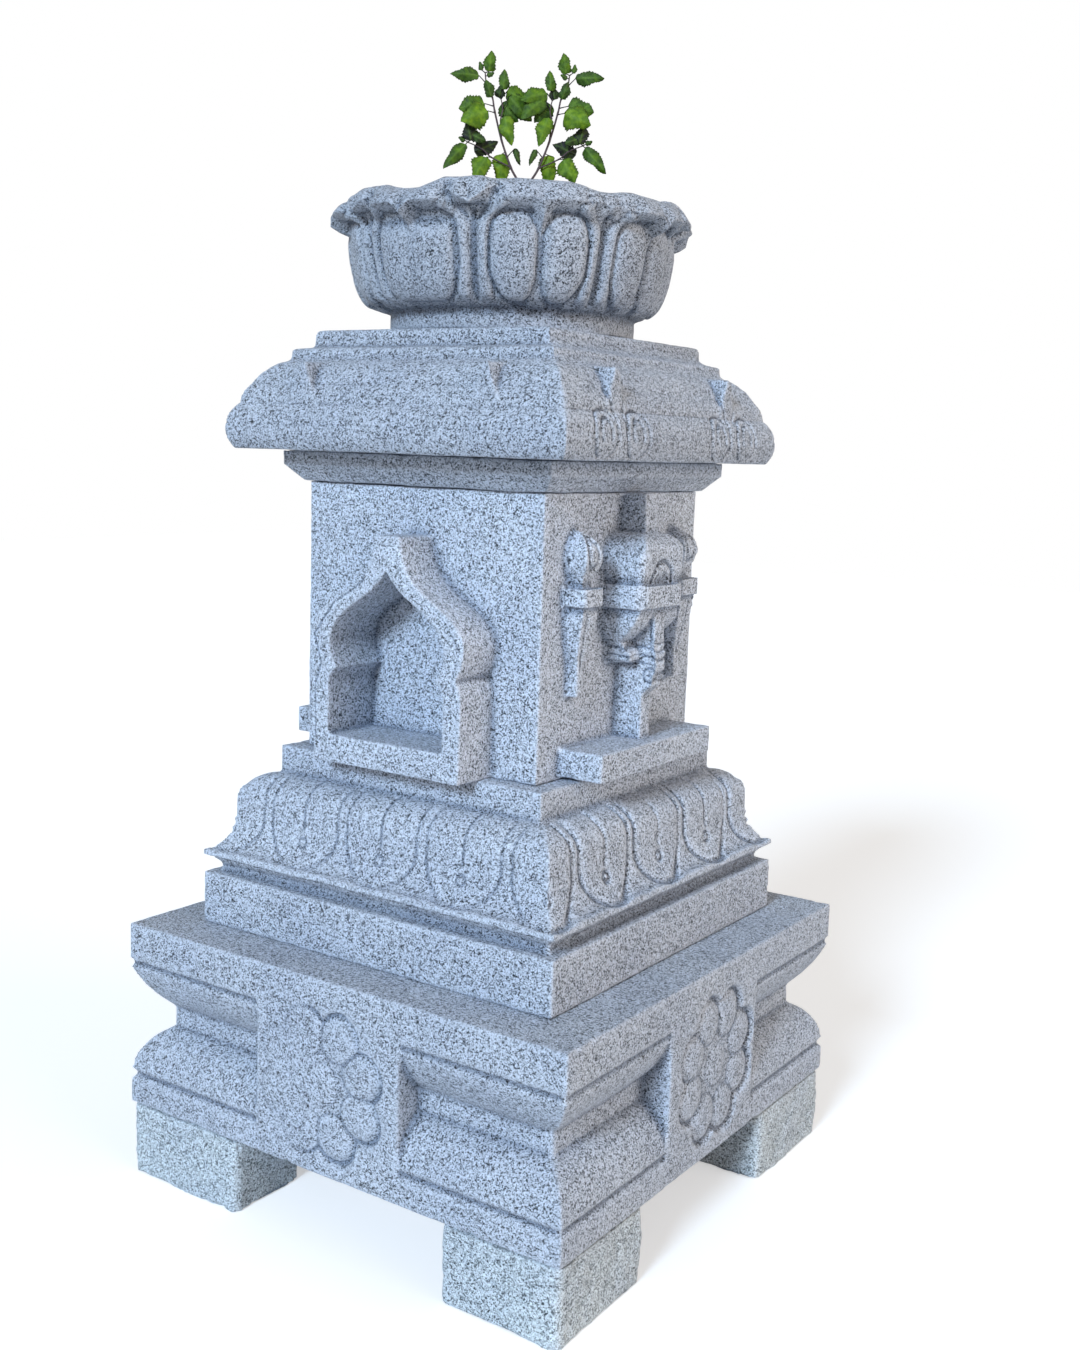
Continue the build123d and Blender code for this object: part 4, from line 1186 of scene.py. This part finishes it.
def make_soil():
    """Crumbly soil that dips a little to its edge, with a lumpy top."""
    made = bmesh.new()
    centre = made.verts.new((0, 0, soil_high.z))
    rows = []
    for ring in range(1, soil_rings + 1):
        reach = soil_radius * ring / soil_rings
        rows.append([
            made.verts.new((reach * math.cos(turn), reach * math.sin(turn), soil_high.z))
            for turn in (2 * math.pi * s / soil_spokes for s in range(soil_spokes))
        ])
    bottom = [
        made.verts.new((v.co.x * soil_taper, v.co.y * soil_taper, soil_low.z + soil_side)) for v in rows[-1]
    ]
    for s in range(soil_spokes):
        after = (s + 1) % soil_spokes
        made.faces.new((centre, rows[0][s], rows[0][after]))
        for inner, outer in zip(rows, rows[1:]):
            made.faces.new((inner[s], outer[s], outer[after], inner[after]))
        made.faces.new((rows[-1][s], bottom[s], bottom[after], rows[-1][after]))
    made.faces.new(list(reversed(bottom)))
    piece = made_piece("soil_bed", made)
    points = read_points(piece.data)
    top = points[:, 2] > soil_high.z - 1 * MM
    lumps = 3.2 * noise(points, 26 * MM, 81) + 2.4 * np.abs(noise(points, 9 * MM, 82))
    lumps += 1.4 * noise(points, 4 * MM, 83)
    edge = step(np.hypot(points[:, 0], points[:, 1]), edge_start, soil_radius)
    points[:, 2] += np.where(top, lumps * MM - lump_drop - edge_drop * edge, 0)
    write_points(piece.data, points)
    return piece


finish_piece(make_soil(), "soil", soil_earth)

# --- tulsi plant

plant_turn = math.radians(34)
plant_offset = 8 * MM
plant_level = bowl_high.z + 14 * MM
plant_across = Vector((math.cos(plant_turn), math.sin(plant_turn), 0))
plant_facing = Vector((math.sin(plant_turn), -math.cos(plant_turn), 0))
plant_foot = plant_across * plant_offset + Vector((0, 0, plant_level))
root_depth = 30 * MM

# Points are (outward, up) from where the sprigs part, in millimetres
root_level = (soil_high.z - root_depth - plant_level) / MM
main_stem_route = [
    (2.4, root_level),
    (2.4, -2),
    (15.7, 27.7),
    (26.8, 56.5),
    (35.4, 87.6),
    (38.5, 102.6),
    (45.3, 116.5),
    (47.2, 129),
]
inner_branch_route = [(26.8, 56.5), (28.6, 78), (26.5, 90), (28.7, 101)]
outer_branch_route = [(15.7, 27.7), (37.9, 38), (49, 47), (65, 53.6)]
stem_joint_steps = 8
joint_swelling = 1.18

# Each leaf: where its stalk leaves the stem, its root, its tip, its stand-off at root and tip, its width and
# its tint, painted light and shade from nearly black in shade at 0 to lit yellow green at 1
leaf_layout = [
    ((47.2, 128.5), (43, 130), (40, 151.4), (0, 3), 14, 0.62),
    ((47.2, 128.5), (51.5, 131.4), (53.4, 141), (0, -3), 6, 0.5),
    ((45.3, 116.5), (54, 125), (86, 125), (2, 6), 15, 0.5),
    ((46.6, 125), (44.5, 124.8), (37.3, 128), (2, 4), 6, 0.4),
    ((38.5, 102.6), (39.5, 102), (46, 120), (4, 7), 12, 0.42),
    ((28.7, 101), (26.5, 112), (25.4, 134), (-3, -5), 12, 0.55),
    ((28.7, 101), (31.5, 104), (29, 118), (-6, -9), 11, 0.2),
    ((36.8, 93), (47, 95), (75.5, 88), (3, 8), 24, 0.6),
    ((35, 86), (43, 86), (72.5, 73), (9, 14), 27, 0.78),
    ((65, 53.6), (61, 55), (66, 76), (4, 2), 15, 0.06),
    ((49, 47), (60, 61), (44.5, 54), (3, 5), 13, 0.3),
    ((49, 47), (57, 44), (31, 56), (-4, -8), 17, 0.03),
    ((65, 53.6), (68, 55), (75, 58), (2, 3), 6, 0.4),
    ((65, 53.6), (67, 51), (91.6, 23), (2, 6), 15, 0.55),
    ((37.9, 38), (43, 37), (57, 11.5), (6, 10), 22, 0.75),
    ((22, 44), (26, 43), (27, 9.5), (-5, -7), 20, 0.85),
    ((28, 72), (24.5, 82), (15, 50), (4, 7), 17, 0.75),
    ((26.5, 90), (28, 97), (9, 78), (-3, -5), 19, 0.5),
    ((28.7, 101), (22.5, 109), (-7, 99), (0, 7), 19, 0.66),
    ((26.5, 90), (20, 104), (-6, 79), (0, 5), 20, 0.6),
    ((20, 39), (12, 48), (5.2, 30), (0, 2), 7, 0.35),
    ((4, 2), (6, 3), (11, 8), (3, 5), 6, 0.3),
]
leaf_rows = 26
leaf_half = 5
least_teeth = 5
tooth_length = 3.2 * MM
tooth_full = 1.06
tooth_cut = 0.22
uneven = 0.16
leaf_droop = 0.10
leaf_fold = 0.32
leaf_wave = 0.05
rib_height = 0.25 * MM
leaf_thickness = 0.5 * MM
stalk_bow = 0.6 * MM
stalk_radii = [0.7 * MM, 0.55 * MM, 0.5 * MM]
stalk_sides = 6
stalk_marks = (0.4, 0.0, 0.0)


def plant_point(side, outward, up, stand_off=0.0):
    return plant_foot + (plant_across * side * outward + Vector((0, 0, up)) + plant_facing * stand_off) * MM


def tube(made, points, radii, sides=8):
    """Closed tapering tube along points."""
    rings = []
    for n, point in enumerate(points):
        along = (points[min(n + 1, len(points) - 1)] - points[max(n - 1, 0)]).normalized()
        first = along.cross(plant_facing).normalized()
        second = along.cross(first)
        turns = (math.tau * s / sides for s in range(sides))
        rings.append([point + radii[n] * (first * math.cos(t) + second * math.sin(t)) for t in turns])
    add_shell(made, rings)


def smooth_route(points, steps):
    """Points along a curve through the route's points."""
    line = []
    for n in range(len(points) - 1):
        line += [curve_point(*four_near(points, n), s / steps) for s in range(steps)]
    return line + [points[-1]]


def grow_stem(made, side, route, thick, thin):
    """Stem with a slight swelling at each joint."""
    steps = stem_joint_steps
    points = smooth_route([plant_point(side, *place) for place in route], steps)
    count = len(points) - 1
    radii = []
    for n in range(count + 1):
        joint = abs((n + steps / 2) % steps - steps / 2) < 1
        radii.append((thick + (thin - thick) * n / count) * (joint_swelling if joint else 1.0) * MM)
    tube(made, points, radii)


def leaf_edge(t, saw_turn, wave_turn):
    """How far the saw-edged rim reaches, as a share of the blade's own breadth, at a share of its length."""
    saw = tooth_full - tooth_cut * (saw_turn % 1.0) * (0.1 < t < 0.97)
    return saw * (1 + uneven * math.sin(math.tau * wave_turn))


def grow_leaf(made, side, stalk, root, tip, stand_off, width, tint, marks):
    """Pointed, saw-edged blade with a folded midrib, sunk side veins and a curved length."""
    lean = side if tip[0] < 0 else 1
    start = plant_point(side, *stalk)
    base = plant_point(side, *root, stand_off[0])
    point = plant_point(side, *tip, lean * stand_off[1])
    length = (point - base).length
    forward = (point - base).normalized()
    outward = forward.cross(plant_facing.cross(forward)).normalized()
    if outward.dot(plant_facing) < 0:
        outward = -outward
    over = forward.cross(outward).normalized()
    teeth = max(least_teeth, round(length / tooth_length))
    grid = []
    for row in range(leaf_rows + 1):
        t = row / leaf_rows
        breadth = width * MM / 2 * t**0.45 * (1 - t) ** 0.85 / 0.405 if 0 < t < 1 else 0.0
        right_edge = leaf_edge(t, t * teeth, 1.3 * t + 3.1 * tint + 0.02 * width)
        left_edge = leaf_edge(t, t * teeth + 0.45, 1.1 * t + 1.7 * tint + 0.05 * width)
        droop = leaf_droop * length * (1 - (2 * t - 1) ** 2)
        wave = leaf_wave * length * math.sin(math.tau * (t * 1.3 + 0.2 * tint))
        line = []
        for column in range(-leaf_half, leaf_half + 1):
            share = column / leaf_half
            saw = right_edge if column > 0 else left_edge
            reach = breadth * share * (1 + (saw - 1) * share**2)
            rib = math.cos(math.tau * (t * teeth * 0.5 - abs(share) * 1.1))
            lift = droop - leaf_fold * abs(reach) - wave * share + rib_height * rib * (column != 0)
            line.append(made.verts.new(base + forward * (length * t) + over * reach + outward * lift))
            midrib = max(0.0, 1 - abs(share) * 4) * (1 - 0.6 * t)
            side_vein = 0.45 * max(0.0, -rib) ** 2
            # The first value is the leaf's painted light level; the last marks its rim for painted shade
            marks[line[-1]] = (tint, max(midrib, side_vein), share**4)
        grid.append(line)
    for near, far in zip(grid, grid[1:]):
        for a, b, c, d in zip(near, near[1:], far[1:], far):
            made.faces.new((a, b, c, d))
    return start, grid[0][leaf_half].co.copy()


def make_leaves(side, name):
    """One sprig's leaves, each a thin closed blade, with their stalks."""
    made = bmesh.new()
    marks = {}
    stalks = [grow_leaf(made, side, *leaf, marks) for leaf in leaf_layout]
    bmesh.ops.remove_doubles(made, verts=made.verts, dist=0.002 * MM)
    made.verts.index_update()
    values = np.array([marks.get(v, stalk_marks) for v in made.verts])
    piece = made_piece(name, made)
    for number, what in enumerate(("tint", "vein", "rim")):
        mark_points(piece.data, what, values[:, number])
    thick = piece.modifiers.new("thick", "SOLIDIFY")
    thick.thickness = leaf_thickness
    settle(piece)
    joined = bmesh.new()
    joined.from_mesh(piece.data)
    for start, end in stalks:
        middle = (start + end) / 2 + plant_facing * stalk_bow
        tube(joined, [start, middle, end], stalk_radii, stalk_sides)
    joined.to_mesh(piece.data)
    joined.free()
    return piece


def make_stems(side, name):
    """One sprig's stem and branches, by their radii in millimetres at the root and at the end."""
    made = bmesh.new()
    grow_stem(made, side, main_stem_route, thick=1.5, thin=0.7)
    grow_stem(made, side, inner_branch_route, thick=0.9, thin=0.6)
    grow_stem(made, side, outer_branch_route, thick=0.9, thin=0.6)
    return made_piece(name, made)


for side, hand in ((-1, "left"), (1, "right")):
    finish_piece(make_stems(side, "sprig_stem_" + hand), "tulsi_stem_" + hand, stem_bark)
    finish_piece(make_leaves(side, "sprig_leaves_" + hand), "tulsi_leaves_" + hand, leaf_green)

# --- hidden pieces keep their CAD shape

for node in ("plinth_dowel", "pedestal_dowel", "cornice_dowel", "bowl_dowel", "drainage_gravel"):
    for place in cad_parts[node].material_slots:
        place.material = gravel if node == "drainage_gravel" else dowel_steel

# --- floor, light and background

floor_grey = (0.82, 0.82, 0.82)
floor_glow = 0.45
floor_size = 9.0
world_light = 0.32
cool_white = (0.62, 0.8, 1.0)
warm_white = (1.0, 0.84, 0.7)


def seen_rays(tree):
    """1 for rays from the camera, a mirror or glass, and 0 for rays that light the object."""
    rays = add_node(tree, "ShaderNodeLightPath").outputs
    seen = maths(tree, "MAXIMUM", rays["Is Camera Ray"], rays["Is Glossy Ray"])
    return maths(tree, "MAXIMUM", seen, rays["Is Transmission Ray"])


def floor_material():
    """Pale floor that shows white to the camera and still takes the shadow."""
    material, tree, shader = new_material("floor")
    fill(shader.inputs["Base Color"], floor_grey)
    shader.inputs["Roughness"].default_value = 1.0
    shader.inputs["Specular IOR Level"].default_value = 0.0
    shader.inputs["Emission Color"].default_value = (1, 1, 1, 1)
    link(maths(tree, "MULTIPLY", seen_rays(tree), floor_glow), shader.inputs["Emission Strength"])
    return material


def make_floor():
    made = bmesh.new()
    bmesh.ops.create_grid(made, x_segments=2, y_segments=2, size=floor_size)
    floor = made_piece("floor", made)
    floor.data.materials.append(floor_material())


def make_world():
    """Even grey light, white to the camera and in reflections."""
    world = bpy.data.worlds.new("studio")
    world.use_nodes = True
    bpy.context.scene.world = world
    tree = world.node_tree
    back = tree.nodes["Background"]
    back.inputs["Color"].default_value = (1, 1, 1, 1)
    level = add_node(tree, "ShaderNodeMapRange", to_min=world_light, to_max=1.0)
    link(seen_rays(tree), level.inputs["Value"])
    link(level.outputs[0], back.inputs["Strength"])


def make_sun(name, towards, colour, strength, softness):
    """Soft lamp far away, in the direction given from the object."""
    data = bpy.data.lights.new(name, "SUN")
    data.color = colour
    data.energy = strength
    data.angle = math.radians(softness)
    lamp = bpy.data.objects.new(name, data)
    lamp.matrix_world = Vector(towards).to_track_quat("Z", "Y").to_matrix().to_4x4()
    bpy.context.scene.collection.objects.link(lamp)


make_camera()
make_floor()
make_world()
make_sun("key", towards=(0.1, -0.88, 0.46), colour=cool_white, strength=3.1, softness=14)
make_sun("fill", towards=(0.97, 0.05, 0.22), colour=warm_white, strength=1.7, softness=50)
bpy.context.scene.view_settings.view_transform = "Standard"
